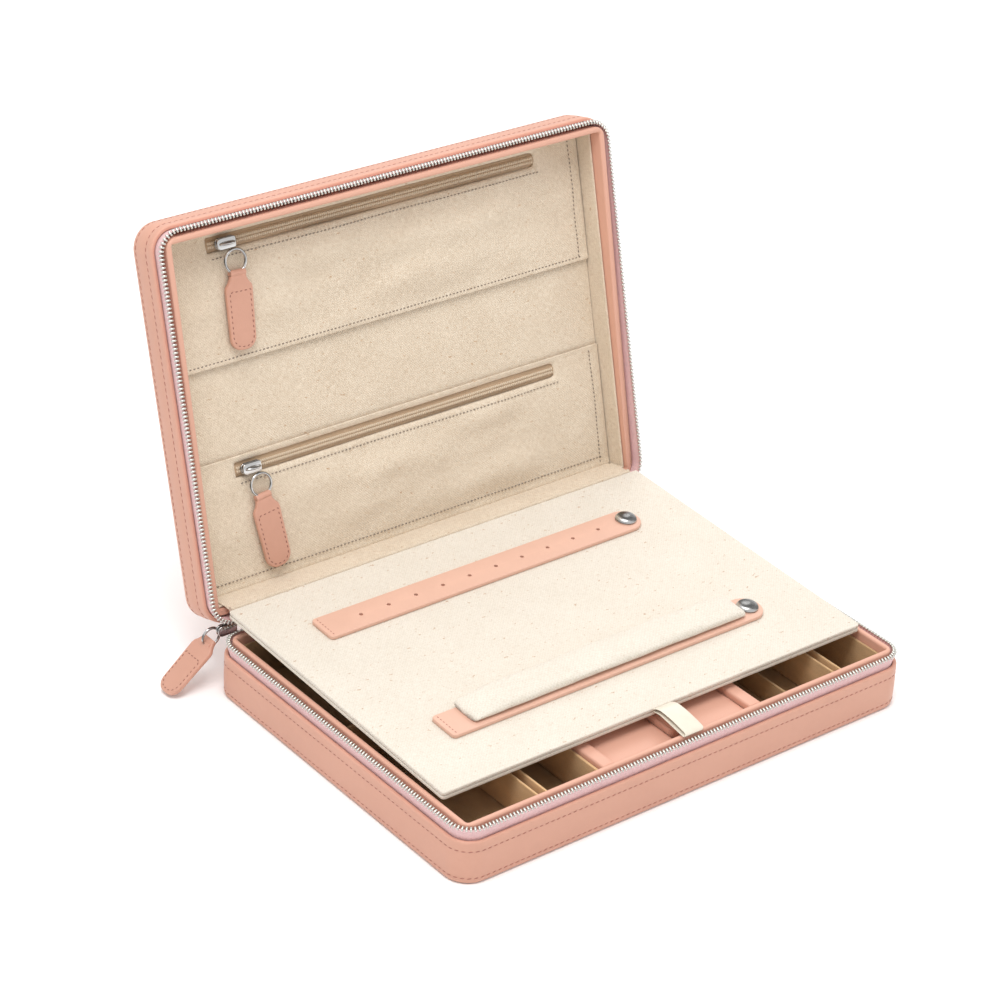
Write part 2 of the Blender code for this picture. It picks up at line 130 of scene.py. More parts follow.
# camera: lens in mm, angles in radians, and its distance from the point it aims at
CAMERA_LENS = 109.83
CAMERA_TURN = -0.6922
CAMERA_RISE = 0.5150
CAMERA_ROLL = 0.0569
CAMERA_AIM = Vector((-0.0083, 0.0419, 0.0868))
CAMERA_AWAY = 1.3988

WORLD = Matrix.Identity(4)
LID = Matrix.Translation(HINGE) @ Matrix.Rotation(-OPEN_ANGLE, 4, "X") @ Matrix.Translation(-HINGE)
FLAP = Matrix.Translation(FOLD) @ Matrix.Rotation(FLAP_PITCH, 4, "X")
POCKETS = {
    "upper": {"y": (-LINE_Y, -0.0218), "zip": -0.0775, "x": (-0.0950, 0.0935), "slider": -0.0860, "tilt": -3},
    "lower": {"y": (0.0216, LINE_Y), "zip": 0.0285, "x": (-0.0965, 0.0920), "slider": -0.0890, "tilt": 7},
}
STRAPS = {
    "earring": {"y": 0.1265 - FLAP_LENGTH, "x": (-0.0963, 0.0917), "half": 0.0085},
    "ring": {"y": 0.0367 - FLAP_LENGTH, "x": (-0.0951, 0.0907), "half": 0.0086},
}


# ---- settings -------------------------------------------------------------------------------
def length(name, text, default):
    return bpy.props.FloatProperty(name=name, description=text, default=default, unit="LENGTH", precision=5)


def colour(name, text, default):
    return bpy.props.FloatVectorProperty(
        name=name, description=text, default=default, size=3, min=0, max=1, subtype="COLOR")


def watts(name, text, default):
    return bpy.props.FloatProperty(name=name, description=text, default=default, min=0, unit="POWER")


class CaseSizes(bpy.types.PropertyGroup):
    """Sizes a user may change"""
    stitch_pitch: length("Stitch pitch", "Distance between stitches on the shells", 0.0031)
    stitch_length: length("Stitch length", "Length of one shell stitch", 0.0021)
    fine_pitch: length("Fine stitch pitch", "Distance between stitches on cloth and pulls", 0.0021)
    fine_length: length("Fine stitch length", "Length of one stitch on cloth and pulls", 0.0013)
    tooth_pitch: length("Tooth pitch", "Distance between the case zip's teeth", 0.00185)
    tooth_width: length("Tooth width", "Size of a tooth across the tape", 0.0026)
    coil_pitch: length("Coil pitch", "Distance between the ridges of a pocket zip", 0.0011)
    pocket_belly: length("Pocket belly", "How far a pocket's cloth stands off the board", 0.0021)


class CaseColours(bpy.types.PropertyGroup):
    """Base colours of the finishes"""
    leather: colour("Leather", "Blush leather", (0.685, 0.375, 0.276))
    leather_deep: colour("Leather, deep", "The leather's darker tone", (0.605, 0.315, 0.228))
    thread: colour("Thread", "Sewing thread on the leather", (0.400, 0.150, 0.110))
    linen: colour("Linen", "Cloth of the lid lining", (0.595, 0.480, 0.355))
    linen_light: colour("Linen, light", "Paler threads of the lid lining", (0.795, 0.688, 0.550))
    canvas: colour("Canvas", "Cloth of the flap", (0.680, 0.612, 0.515))
    canvas_light: colour("Canvas, light", "Paler threads of the flap", (0.795, 0.735, 0.645))
    fleck: colour("Fleck", "Tan flecks in the cloth", (0.420, 0.220, 0.090))
    velvet: colour("Velvet", "Tray and dividers", (0.440, 0.285, 0.150))
    tape: colour("Zip tape", "Woven tape of the case zip", (0.700, 0.460, 0.460))
    metal: colour("Metal", "Polished silver colour", (0.400, 0.395, 0.390))


class CaseStage(bpy.types.PropertyGroup):
    """Light and floor"""
    key: watts("Key light", "Power of the main light", 14.0)
    fill: watts("Fill light", "Power of the side light", 1.2)
    backdrop: watts("Backdrop light", "Power of the light on the far floor", 14.0)
    sky: bpy.props.FloatProperty(name="Sky", description="Strength of the surrounding white", default=0.74,
                                 min=0, subtype="FACTOR")


# ---- shader node groups ---------------------------------------------------------------------
class Wiring:
    """Places and joins nodes in one tree."""

    def __init__(self, tree):
        self.tree = tree

    def node(self, kind, **settings):
        made = self.tree.nodes.new(kind)
        for key, value in settings.items():
            setattr(made, key, value)
        return made

    def feed(self, socket, value):
        if isinstance(value, bpy.types.NodeSocket):
            self.tree.links.new(value, socket)
        elif value is not None:
            socket.default_value = value

    def fill(self, node, values):
        for key, value in values.items():
            self.feed(node.inputs[key], value)

    def math(self, operation, a, b=None, c=None, clamp=False):
        made = self.node("ShaderNodeMath", operation=operation, use_clamp=clamp)
        for socket, value in zip(made.inputs, (a, b, c)):
            self.feed(socket, value)
        return made.outputs[0]

    def stretch(self, vector, factors):
        made = self.node("ShaderNodeVectorMath", operation="MULTIPLY")
        self.feed(made.inputs[0], vector)
        made.inputs[1].default_value = factors
        return made.outputs[0]

    def noise(self, vector, scale, detail=2.0, rough=0.5):
        made = self.node("ShaderNodeTexNoise")
        self.fill(made, {"Vector": vector, "Scale": scale, "Detail": detail, "Roughness": rough})
        return made.outputs[0]

    def spread(self, value, low, high, to_low=0.0, to_high=1.0):
        made = self.node("ShaderNodeMapRange", clamp=True)
        for socket, given in zip(made.inputs, (value, low, high, to_low, to_high)):
            self.feed(socket, given)
        return made.outputs[0]

    def mix(self, factor, a, b):
        made = self.node("ShaderNodeMix", data_type="RGBA", blend_type="MIX")
        self.feed(made.inputs[0], factor)
        self.feed(made.inputs[6], a)
        self.feed(made.inputs[7], b)
        return made.outputs[2]

    def bump(self, height, strength, distance):
        made = self.node("ShaderNodeBump")
        self.fill(made, {"Strength": strength, "Distance": distance, "Height": height})
        return made.outputs[0]


def shader_group(name, inputs, outputs):
    """Empty group with named inputs (name, kind, value) and outputs (name, kind)."""
    tree = bpy.data.node_groups.new(name, "ShaderNodeTree")
    for label, kind, value in inputs:
        socket = tree.interface.new_socket(name=label, in_out="INPUT", socket_type=kind)
        if value is not None:
            socket.default_value = value
    for label, kind in outputs:
        tree.interface.new_socket(name=label, in_out="OUTPUT", socket_type=kind)
    wires = Wiring(tree)
    return tree, wires, wires.node("NodeGroupInput").outputs, wires.node("NodeGroupOutput").inputs


def leather_grain():
    """Fine pebbled grain, with a slow change of tone."""
    tree, w, given, out = shader_group(
        "leather_grain",
        [("Vector", "NodeSocketVector", None), ("Pebble", "NodeSocketFloat", 1500.0)],
        [("Height", "NodeSocketFloat"), ("Tone", "NodeSocketFloat")],
    )
    cells = w.node("ShaderNodeTexVoronoi", feature="SMOOTH_F1")
    w.fill(cells, {"Vector": given["Vector"], "Scale": given["Pebble"]})
    pores = w.noise(given["Vector"], w.math("MULTIPLY", given["Pebble"], 2.6), 3.0, 0.6)
    creases = w.noise(given["Vector"], w.math("MULTIPLY", given["Pebble"], 0.22), 4.0, 0.6)
    height = w.math("MULTIPLY_ADD", cells.outputs["Distance"], -0.6, w.math("MULTIPLY", pores, 0.35))
    w.feed(out["Height"], w.math("MULTIPLY_ADD", creases, 0.5, height))
    slow = w.noise(given["Vector"], 22.0, 3.0, 0.55)
    w.feed(out["Tone"], w.spread(w.math("MULTIPLY_ADD", creases, 0.4, slow), 0.5, 0.95, 0.3, 0.7))
    return tree


def woven_cloth():
    """Plain weave with uneven threads and small flecks; the vector is in metres over the cloth."""
    tree, w, given, out = shader_group(
        "woven_cloth",
        [("Vector", "NodeSocketVector", None), ("Threads", "NodeSocketFloat", 1500.0),
         ("Flecks", "NodeSocketFloat", 0.5)],
        [("Height", "NodeSocketFloat"), ("Tone", "NodeSocketFloat"), ("Fleck", "NodeSocketFloat")],
    )
    wander = w.noise(given["Vector"], 160.0, 2.0)
    parts = w.node("ShaderNodeSeparateXYZ")
    w.feed(parts.inputs[0], given["Vector"])
    waves = []
    for axis in (0, 1):
        turns = w.math("MULTIPLY", parts.outputs[axis], given["Threads"])
        turns = w.math("MULTIPLY_ADD", wander, 1.3, turns)
        waves.append(w.math("SINE", w.math("MULTIPLY", turns, math.pi)))
    weave = w.math("MULTIPLY", waves[0], waves[1])
    weft = w.noise(w.stretch(given["Vector"], (0.15, 1.0, 1.0)), 2100.0, 2.0, 0.6)
    warp = w.noise(w.stretch(given["Vector"], (1.0, 0.18, 1.0)), 1900.0, 2.0, 0.6)
    threads = w.math("ADD", weft, warp)
    w.feed(out["Height"], w.math("MULTIPLY_ADD", weave, 0.25, w.math("MULTIPLY", threads, 0.75)))
    slow = w.noise(given["Vector"], 45.0, 3.0, 0.6)
    mottle = w.math("MULTIPLY_ADD", weave, 0.16, w.math("MULTIPLY", slow, 0.35))
    tone = w.math("MULTIPLY_ADD", threads, 0.9, mottle)
    w.feed(out["Tone"], w.spread(tone, 0.80, 1.35))
    specks = w.noise(w.stretch(given["Vector"], (0.55, 1.0, 1.0)), 480.0, 3.0, 0.65)
    edge = w.math("SUBTRACT", 0.742, w.math("MULTIPLY", given["Flecks"], 0.16))
    w.feed(out["Fleck"], w.spread(w.math("SUBTRACT", specks, edge), 0.0, 0.05))
    return tree


def rubbed_edges():
    """Mask of the edges that hands and use have rubbed."""
    tree, w, given, out = shader_group(
        "rubbed_edges",
        [("Vector", "NodeSocketVector", None), ("Amount", "NodeSocketFloat", 0.5)],
        [("Mask", "NodeSocketFloat")],
    )
    point = w.node("ShaderNodeNewGeometry").outputs["Pointiness"]
    patchy = w.noise(given["Vector"], 140.0, 3.0, 0.6)
    mask = w.math("MULTIPLY", w.spread(point, 0.505, 0.56), w.spread(patchy, 0.3, 0.75))
    w.feed(out["Mask"], w.math("MULTIPLY", mask, given["Amount"], clamp=True))
    return tree


GROUPS = {}
FINISHES = {}


def start_finish(name, uv=False):
    """New material; returns its wiring, its shader, and the coordinates its patterns use."""
    made = bpy.data.materials.new(name)
    made.use_nodes = True
    wires = Wiring(made.node_tree)
    shader = made.node_tree.nodes["Principled BSDF"]
    if uv:
        where = wires.node("ShaderNodeUVMap", uv_map="cloth").outputs[0]
    else:
        where = wires.node("ShaderNodeTexCoord").outputs["Object"]
    FINISHES[name] = made
    return wires, shader, where


def use_group(wires, name, where, **values):
    made = wires.node("ShaderNodeGroup", node_tree=GROUPS[name])
    wires.feed(made.inputs["Vector"], where)
    for key, value in values.items():
        made.inputs[key].default_value = value
    return made.outputs


def shade(c, gain):
    return tuple(min(1.0, x * gain) for x in c)


def rgba(c, gain=1.0):
    return (*shade(c, gain), 1.0)


def leather(name, light, deep, rough=0.5, depth=0.35, wear=0.35):
    w, shader, where = start_finish(name)
    grain = use_group(w, "leather_grain", where)
    worn = use_group(w, "rubbed_edges", where, Amount=wear)["Mask"]
    base = w.mix(grain["Tone"], rgba(deep), rgba(light))
    w.fill(shader, {
        "Base Color": w.mix(worn, base, rgba(light, 1.18)),
        "Roughness": w.spread(grain["Tone"], 0, 1, rough - 0.06, rough + 0.08),
        "Normal": w.bump(grain["Height"], depth, 0.00016),
        "Specular IOR Level": 0.35, "Sheen Weight": 0.08, "Sheen Roughness": 0.4})


def cloth(name, dark, light, fleck, threads=1500.0, flecks=0.5, depth=0.5, sheen=0.25):
    w, shader, where = start_finish(name, uv=True)
    weave = use_group(w, "woven_cloth", where, Threads=threads, Flecks=flecks)
    base = w.mix(weave["Tone"], rgba(dark), rgba(light))
    w.fill(shader, {
        "Base Color": w.mix(w.math("MULTIPLY", weave["Fleck"], 0.7), base, rgba(fleck)),
        "Roughness": w.spread(weave["Tone"], 0, 1, 0.95, 0.82),
        "Normal": w.bump(weave["Height"], depth, 0.0004),
        "Specular IOR Level": 0.2, "Sheen Weight": sheen, "Sheen Roughness": 0.5})


def velvet(name, base):
    w, shader, where = start_finish(name)
    pile = w.noise(where, 2600.0, 3.0, 0.7)
    brushed = w.noise(w.stretch(where, (1.0, 0.45, 1.0)), 55.0, 3.0, 0.6)
    tone = w.math("MULTIPLY_ADD", pile, 0.5, brushed)
    w.fill(shader, {
        "Base Color": w.mix(w.spread(tone, 0.5, 1.0), rgba(base, 0.8), rgba(base, 1.35)),
        "Normal": w.bump(pile, 0.5, 0.0003),
        "Roughness": w.spread(brushed, 0.3, 0.7, 0.85, 1.0),
        "Sheen Weight": 0.7, "Sheen Roughness": 0.35, "Specular IOR Level": 0.15})


def satin(name, base):
    w, shader, where = start_finish(name, uv=True)
    ribs = w.node("ShaderNodeTexWave", wave_type="BANDS", bands_direction="X")
    w.fill(ribs, {"Vector": where, "Scale": 900.0, "Distortion": 1.0})
    soft = w.noise(where, 240.0)
    w.fill(shader, {
        "Base Color": w.mix(soft, rgba(base, 0.93), rgba(base, 1.05)),
        "Roughness": w.spread(soft, 0.3, 0.7, 0.30, 0.42),
        "Normal": w.bump(ribs.outputs[0], 0.2, 0.00006),
        "Anisotropic": 0.5, "Sheen Weight": 0.3})


def metal(name, base, rough=0.2, brushed=0.0, painted_reflection=0.8):
    w, shader, where = start_finish(name)
    scuffs = w.noise(where, 900.0, 4.0, 0.7)
    facing = w.node("ShaderNodeSeparateXYZ")
    w.feed(facing.inputs[0], w.node("ShaderNodeNewGeometry").outputs["Normal"])
    # painted reflection: light and dark bands in the base colour that follow the way the surface faces,
    # standing in for the reflection of a bright room
    sideways = w.math("MULTIPLY", facing.outputs["X"], 3.5)
    painted_reflection_bands = w.math("SINE", w.math("MULTIPLY_ADD", facing.outputs["Z"], 5.5, sideways))
    scuffs_and_painted_reflection = w.math("MULTIPLY_ADD", scuffs, 0.3, w.math("MULTIPLY", painted_reflection_bands, painted_reflection))
    # base colour from real scuffs and the painted reflection bands, 0.4 to 1.75 times the metal's colour
    w.fill(shader, {
        "Base Color": w.mix(w.spread(scuffs_and_painted_reflection, -0.5, 0.6), rgba(base, 0.4), rgba(base, 1.75)),
        "Roughness": w.spread(scuffs, 0.3, 0.8, rough, rough + 0.14),
        "Normal": w.bump(scuffs, 0.12, 0.00006),
        "Metallic": 1.0, "Anisotropic": brushed})


def twisted_thread(name, base):
    w, shader, where = start_finish(name)
    twist = w.noise(where, 2400.0, 2.0)
    w.fill(shader, {
        "Base Color": w.mix(twist, rgba(base, 0.8), rgba(base, 1.2)),
        "Normal": w.bump(twist, 0.5, 0.0001),
        "Roughness": 0.7, "Sheen Weight": 0.2})


def build_finishes():
    c = bpy.context.scene.case_colours
    GROUPS["leather_grain"] = leather_grain()
    GROUPS["woven_cloth"] = woven_cloth()
    GROUPS["rubbed_edges"] = rubbed_edges()
    leather("blush_leather", c.leather, c.leather_deep)
    leather("inner_leather", shade(c.leather, 1.03), c.leather, rough=0.46, depth=0.22, wear=0.2)
    leather("pull_leather", shade(c.leather, 0.93), shade(c.leather_deep, 0.92), depth=0.4, wear=0.5)
    leather("strap_leather", (0.745, 0.460, 0.350), (0.690, 0.415, 0.312), rough=0.52, depth=0.3)
    cloth("lining_linen", c.linen, c.linen_light, c.fleck, flecks=0.55)
    cloth("flap_canvas", c.canvas, c.canvas_light, c.fleck, threads=1300.0, flecks=0.62, depth=0.55)
    cloth("roll_canvas", shade(c.canvas, 1.03), shade(c.canvas_light, 1.04), c.fleck,
          threads=1100.0, flecks=0.35, depth=0.9, sheen=0.4)
    cloth("pocket_tape", (0.42, 0.285, 0.175), (0.49, 0.345, 0.225), c.fleck, threads=2200.0, flecks=0.0)
    cloth("case_tape", c.tape, shade(c.tape, 1.18), c.tape, threads=2000.0, flecks=0.0)
    velvet("tray_velvet", c.velvet)
    # painted light: the divider pads' velvet is the tray velvet made 1.45 times lighter, a lit copy of the
    # same fabric
    velvet("velvet_painted_lighter", shade(c.velvet, 1.45))
    satin("ribbon_satin", (0.76, 0.69, 0.57))
    metal("bright_metal", c.metal, rough=0.14)
    metal("tooth_metal", (0.62, 0.575, 0.53), rough=0.32, painted_reflection=0.12)
    metal("cap_metal", shade(c.metal, 0.95), rough=0.24, brushed=0.7)
    twisted_thread("leather_thread", c.thread)
    twisted_thread("linen_thread", (0.20, 0.15, 0.12))
    twisted_thread("pull_thread", (0.25, 0.09, 0.06))
    twisted_thread("coil_nylon", (0.66, 0.54, 0.40))


# ---- mesh helpers ---------------------------------------------------------------------------
def flatten(obj):
    """Turns the modifiers' result into the object's plain mesh."""
    graph = bpy.context.evaluated_depsgraph_get()
    mesh = bpy.data.meshes.new_from_object(
        obj.evaluated_get(graph), preserve_all_data_layers=True, depsgraph=graph)
    obj.modifiers.clear()
    obj.data = mesh
    mesh.name = obj.name


def face_out(mesh):
    bm = bmesh.new()
    bm.from_mesh(mesh)
    bmesh.ops.recalc_face_normals(bm, faces=bm.faces)
    bm.to_mesh(mesh)
    bm.free()


def lay_cloth(mesh):
    """UV map in metres, laid flat on each face's own side."""
    layer = mesh.uv_layers.new(name="cloth")
    for face in mesh.polygons:
        away = max(range(3), key=lambda i: abs(face.normal[i]))
        a, b = [i for i in range(3) if i != away]
        for corner in face.loop_indices:
            co = mesh.vertices[mesh.loops[corner].vertex_index].co
            layer.data[corner].uv = (co[a], co[b])


def piece(name, verts, faces, finish, place=WORLD, bevel=0.0, levels=0, thick=0.0, sharp=38, steps=3):
    """One finished mesh, with its place in its vertices."""
    mesh = bpy.data.meshes.new(name)
    mesh.from_pydata([tuple(v) for v in verts], [], faces)
    face_out(mesh)
    lay_cloth(mesh)
    mesh.materials.append(FINISHES[finish])
    obj = bpy.data.objects.new(name, mesh)
    bpy.context.scene.collection.objects.link(obj)
    if thick:
        wall = obj.modifiers.new("thickness", "SOLIDIFY")
        wall.thickness = thick
        wall.offset = 0
    if bevel:
        soft = obj.modifiers.new("soft_edges", "BEVEL")
        soft.width = bevel
        soft.segments = steps
        soft.limit_method = "ANGLE"
        soft.angle_limit = math.radians(32)
    if levels:
        rounder = obj.modifiers.new("rounder", "SUBSURF")
        rounder.levels = levels
        rounder.render_levels = levels
    if thick or bevel or levels:
        flatten(obj)
        face_out(obj.data)
    obj.data.transform(place)
    obj.data.shade_smooth()
    obj.data.set_sharp_from_angle(angle=math.radians(sharp))
    return obj


def settle(obj, body, slot, *nodes):
    """The piece moves with a body and stands for these nodes; slot is not used."""
    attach(obj, body)
    if nodes:
        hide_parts(*nodes)
    return obj


def join(name, objects):
    """Several pieces made one."""
    first = objects[0]
    bm = bmesh.new()
    slots = []
    for obj in objects:
        start = len(bm.faces)
        bm.from_mesh(obj.data)
        bm.faces.ensure_lookup_table()
        finish = obj.data.materials[0]
        if finish not in slots:
            slots.append(finish)
        for face in bm.faces[start:]:
            face.material_index = slots.index(finish)
    mesh = bpy.data.meshes.new(name)
    bm.to_mesh(mesh)
    bm.free()
    for finish in slots:
        mesh.materials.append(finish)
    for obj in objects[1:]:
        bpy.data.objects.remove(obj, do_unlink=True)
    first.data = mesh
    first.name = name
    mesh.shade_smooth()
    mesh.set_sharp_from_angle(angle=math.radians(38))
    return first


def rim(inset, z, steps=14, tail=None):
    """Rounded rectangle round the case from the back left corner: points and outward directions."""
    r = max(CORNER - (1.5 if inset > 0.004 else 1.0) * inset, 0.0006)
    cx, cy = WIDTH / 2 - inset - r, DEPTH / 2 - inset - r
    points, outs = [], []
    for sx, sy, start in ((-1, 1, 90), (-1, -1, 180), (1, -1, 270), (1, 1, 0)):
        for k in range(steps + 1):
            a = math.radians(start + 90 * k / steps)
            outs.append(Vector((math.cos(a), math.sin(a), 0)))
            points.append(Vector((sx * cx + r * outs[-1].x, sy * cy + r * outs[-1].y, z)))
    if tail is not None:
        points = [points[0] + Vector((tail, 0, 0))] + points + [points[-1] - Vector((tail, 0, 0))]
        outs = [outs[0]] + outs + [outs[-1]]
    return points, outs


def skin(rows, n, wrap_rows, wrap_ring):
    faces = []
    pairs = [(k, k + 1) for k in range(rows - 1)] + ([(rows - 1, 0)] if wrap_rows else [])
    for a, b in pairs:
        for k in range(n if wrap_ring else n - 1):
            m = (k + 1) % n
            faces.append((a * n + k, a * n + m, b * n + m, b * n + k))
    return faces


def round_case(name, profile, finish, kind="frame", lift=None, **more):
    """Profile of (inset, z) pairs carried round the case, as an open box, a closed frame or a band."""
    tail = TAPE_END if kind == "band" else None
    rings = [rim(inset, z, tail=tail)[0] for inset, z in profile]
    if lift:
        rings = [[Vector((p.x, p.y, lift(p.y, p.z))) for p in ring] for ring in rings]
    n, rows = len(rings[0]), len(rings)
    faces = skin(rows, n, kind != "box", kind != "band")
    if kind == "box":
        faces += [tuple(range(n)), tuple((rows - 1) * n + k for k in range(n))]
    if kind == "band":
        faces += [tuple(k * n for k in range(rows)), tuple(k * n + n - 1 for k in range(rows))]
    return piece(name, sum(rings, []), faces, finish, **more)


def bend(cx, cy, r, start, end, steps=5):
    """Points along an arc from start to end, in degrees."""
    turn = [math.radians(start + (end - start) * k / steps) for k in range(steps + 1)]
    return [(cx + r * math.cos(a), cy + r * math.sin(a)) for a in turn]


def rounded(x0, y0, x1, y1, radii, steps=8):
    """Rectangle outline with corner radii for (x1, y0), (x1, y1), (x0, y1), (x0, y0)."""
    corners = ((x1, y0, -1, 1, 270), (x1, y1, -1, -1, 0), (x0, y1, 1, -1, 90), (x0, y0, 1, 1, 180))
    points = []
    for (x, y, sx, sy, start), r in zip(corners, radii):
        points += bend(x + sx * r, y + sy * r, r, start, start + 90, steps)
    return points


def slab(name, outline, z0, z1, finish, **more):
    n = len(outline)
    verts = [(x, y, z0) for x, y in outline] + [(x, y, z1) for x, y in outline]
    faces = [tuple(range(n)), tuple(range(n, 2 * n))]
    faces += [(k, (k + 1) % n, n + (k + 1) % n, n + k) for k in range(n)]
    return piece(name, verts, faces, finish, **more)


def block(name, low, high, finish, **more):
    outline = [(low[0], low[1]), (high[0], low[1]), (high[0], high[1]), (low[0], high[1])]
    return slab(name, outline, low[2], high[2], finish, **more)


def grid(columns, rows, point, skip=None):
    """Vertices and faces of a sheet from lists of x and y values; skip leaves faces out."""
    verts = [point(x, y) for y in rows for x in columns]
    n = len(columns)
    faces = []
    for j in range(len(rows) - 1):
        for i in range(n - 1):
            mid = ((columns[i] + columns[i + 1]) / 2, (rows[j] + rows[j + 1]) / 2)
            if skip and skip(*mid):
                continue
            faces.append((j * n + i, j * n + i + 1, (j + 1) * n + i + 1, (j + 1) * n + i))
    return verts, faces


def runs(marks, step):
    """Values through every mark, about one step apart."""
    out = [marks[0]]
    for a, b in zip(marks, marks[1:]):
        n = max(1, round((b - a) / step))
        out += [a + (b - a) * k / n for k in range(1, n + 1)]
    return out


def tube(name, path, radius, finish, sides=12, closed=False, place=WORLD):
    """Round wire along a path."""
    path = [Vector(p) for p in path]
    n = len(path)
    verts = []
    side = None
    for k, p in enumerate(path):
        ahead = path[(k + 1) % n] if closed or k < n - 1 else p
        behind = path[k - 1] if closed or k > 0 else p
        along = (ahead - behind).normalized()
        if side is None:
            side = along.orthogonal().normalized()
        side = (side - along * side.dot(along)).normalized()
        up = along.cross(side)
        for j in range(sides):
            a = 2 * math.pi * j / sides
            verts.append(p + radius * (math.cos(a) * side + math.sin(a) * up))
    faces = skin(n, sides, closed, True)
    if not closed:
        faces += [tuple(range(sides)), tuple((n - 1) * sides + k for k in range(sides))]
    return piece(name, verts, faces, finish, place=place, sharp=60)


def hoop(centre, radius, normal, steps=48):
    """Points of a circle; normal is 'Y' or 'Z'."""
    points = []
    for k in range(steps):
        a = 2 * math.pi * k / steps
        u, v = radius * math.cos(a), radius * math.sin(a)
        points.append(Vector(centre) + (Vector((u, v, 0)) if normal == "Z" else Vector((u, 0, v))))
    return points


def cross_cuts(obj, place, axis, values):
    """Adds edge loops across a finished piece, at these values along one of its axes."""
    normal = place.to_3x3() @ Vector([1.0 if k == axis else 0.0 for k in range(3)])
    bm = bmesh.new()
    bm.from_mesh(obj.data)
    for value in values:
        at = place @ Vector([value if k == axis else 0.0 for k in range(3)])
        bmesh.ops.bisect_plane(bm, geom=bm.verts[:] + bm.edges[:] + bm.faces[:], plane_co=at, plane_no=normal)
    bm.to_mesh(obj.data)
    bm.free()


# ---- repeated pieces along a path -----------------------------------------------------------
def repeat_tree(name, blocky):
    """Small pieces set along guide lines at an even spacing, each turned to its line and its facing."""
    tree = bpy.data.node_groups.new(name, "GeometryNodeTree")
    face = tree.interface
    face.new_socket(name="Geometry", in_out="OUTPUT", socket_type="NodeSocketGeometry")
    face.new_socket(name="Geometry", in_out="INPUT", socket_type="NodeSocketGeometry")
    for label, value in (("Spacing", 0.003), ("Along", 0.002), ("Across", 0.0005), ("Height", 0.0004),
                         ("Lean", 0.0), ("Uneven", 0.05)):
        face.new_socket(name=label, in_out="INPUT", socket_type="NodeSocketFloat").default_value = value
    face.new_socket(name="Seed", in_out="INPUT", socket_type="NodeSocketInt").default_value = 3
    face.new_socket(name="Material", in_out="INPUT", socket_type="NodeSocketMaterial")
    w = Wiring(tree)
    given = w.node("NodeGroupInput").outputs
    line = w.node("GeometryNodeMeshToCurve")
    w.fill(line, {"Mesh": given["Geometry"]})
    even = w.node("GeometryNodeResampleCurve", mode="LENGTH")
    w.fill(even, {"Curve": line.outputs[0], "Length": given["Spacing"]})
    if blocky:
        shape = w.node("GeometryNodeSubdivisionSurface")
        cube = w.node("GeometryNodeMeshCube")
        w.fill(shape, {"Mesh": cube.outputs[0], "Level": 1, "Edge Crease": 0.72})
    else:
        shape = w.node("GeometryNodeMeshUVSphere")
        w.fill(shape, {"Segments": 8, "Rings": 5, "Radius": 0.5})
    size = w.node("ShaderNodeCombineXYZ")
    w.fill(size, {"X": given["Along"], "Y": given["Across"], "Z": given["Height"]})
    lean = w.node("ShaderNodeCombineXYZ")
    w.fill(lean, {"Z": given["Lean"]})
    sized = w.node("GeometryNodeTransform")
    w.fill(sized, {"Geometry": shape.outputs[0], "Scale": size.outputs[0]})
    leaning = w.node("GeometryNodeTransform")
    w.fill(leaning, {"Geometry": sized.outputs[0], "Rotation": lean.outputs[0]})
    facing = w.node("GeometryNodeInputNamedAttribute", data_type="FLOAT_VECTOR")
    w.fill(facing, {"Name": "facing"})
    turn = w.node("FunctionNodeAxesToRotation", primary_axis="Z", secondary_axis="X")
    w.fill(turn, {0: facing.outputs[0], 1: w.node("GeometryNodeInputTangent").outputs[0]})
    vary = w.node("FunctionNodeRandomValue", data_type="FLOAT")
    w.fill(vary, {2: w.math("SUBTRACT", 1.0, given["Uneven"]), 3: w.math("ADD", 1.0, given["Uneven"]),
                  "Seed": given["Seed"]})
    spread = w.node("GeometryNodeInstanceOnPoints")
    w.fill(spread, {"Points": even.outputs[0], "Instance": leaning.outputs[0],
                    "Rotation": turn.outputs[0], "Scale": vary.outputs[1]})
    real = w.node("GeometryNodeRealizeInstances")
    w.fill(real, {0: spread.outputs[0]})
    coat = w.node("GeometryNodeSetMaterial")
    w.fill(coat, {"Geometry": real.outputs[0], "Material": given["Material"]})
    w.feed(w.node("NodeGroupOutput").inputs[0], coat.outputs[0])
    return tree


TREES = {}


def repeat(name, tree, paths, finish, place=WORLD, **values):
    """paths are (points, facings, closed); makes one plain mesh of the repeated shape along all of them."""
    if tree not in TREES:
        TREES[tree] = repeat_tree(tree, tree == "zip_teeth")
    verts, edges, facings = [], [], []
    for points, facing, closed in paths:
        start = len(verts)
        verts += [tuple(p) for p in points]
        facings += facing if isinstance(facing, list) else [Vector(facing)] * len(points)
        edges += [(start + k, start + k + 1) for k in range(len(points) - 1)]
        if closed:
            edges.append((len(verts) - 1, start))
    mesh = bpy.data.meshes.new(name)
    mesh.from_pydata(verts, edges, [])
    store = mesh.attributes.new("facing", "FLOAT_VECTOR", "POINT")
    store.data.foreach_set("vector", [x for v in facings for x in v])
    obj = bpy.data.objects.new(name, mesh)
    bpy.context.scene.collection.objects.link(obj)
    mod = obj.modifiers.new("repeat", "NODES")
    mod.node_group = TREES[tree]
    values["Material"] = FINISHES[finish]
    for socket in TREES[tree].interface.items_tree:
        if socket.in_out == "INPUT" and socket.name in values:
            mod[socket.identifier] = values[socket.name]
    flatten(obj)
    spare = obj.data.attributes.get("facing")
    if spare:
        obj.data.attributes.remove(spare)
    obj.data.transform(place)
    obj.data.shade_smooth()
    return obj


def stitches(name, paths, finish="leather_thread", fine=False, place=WORLD, **values):
    s = bpy.context.scene.case_sizes
    given = {"Spacing": s.fine_pitch if fine else s.stitch_pitch,
             "Along": s.fine_length if fine else s.stitch_length,
             "Across": 0.00042 if fine else 0.00050, "Height": 0.00034, "Lean": 0.12, "Uneven": 0.06}
    given.update(values)
    return repeat(name, "sewn_stitches", paths, finish, place=place, **given)


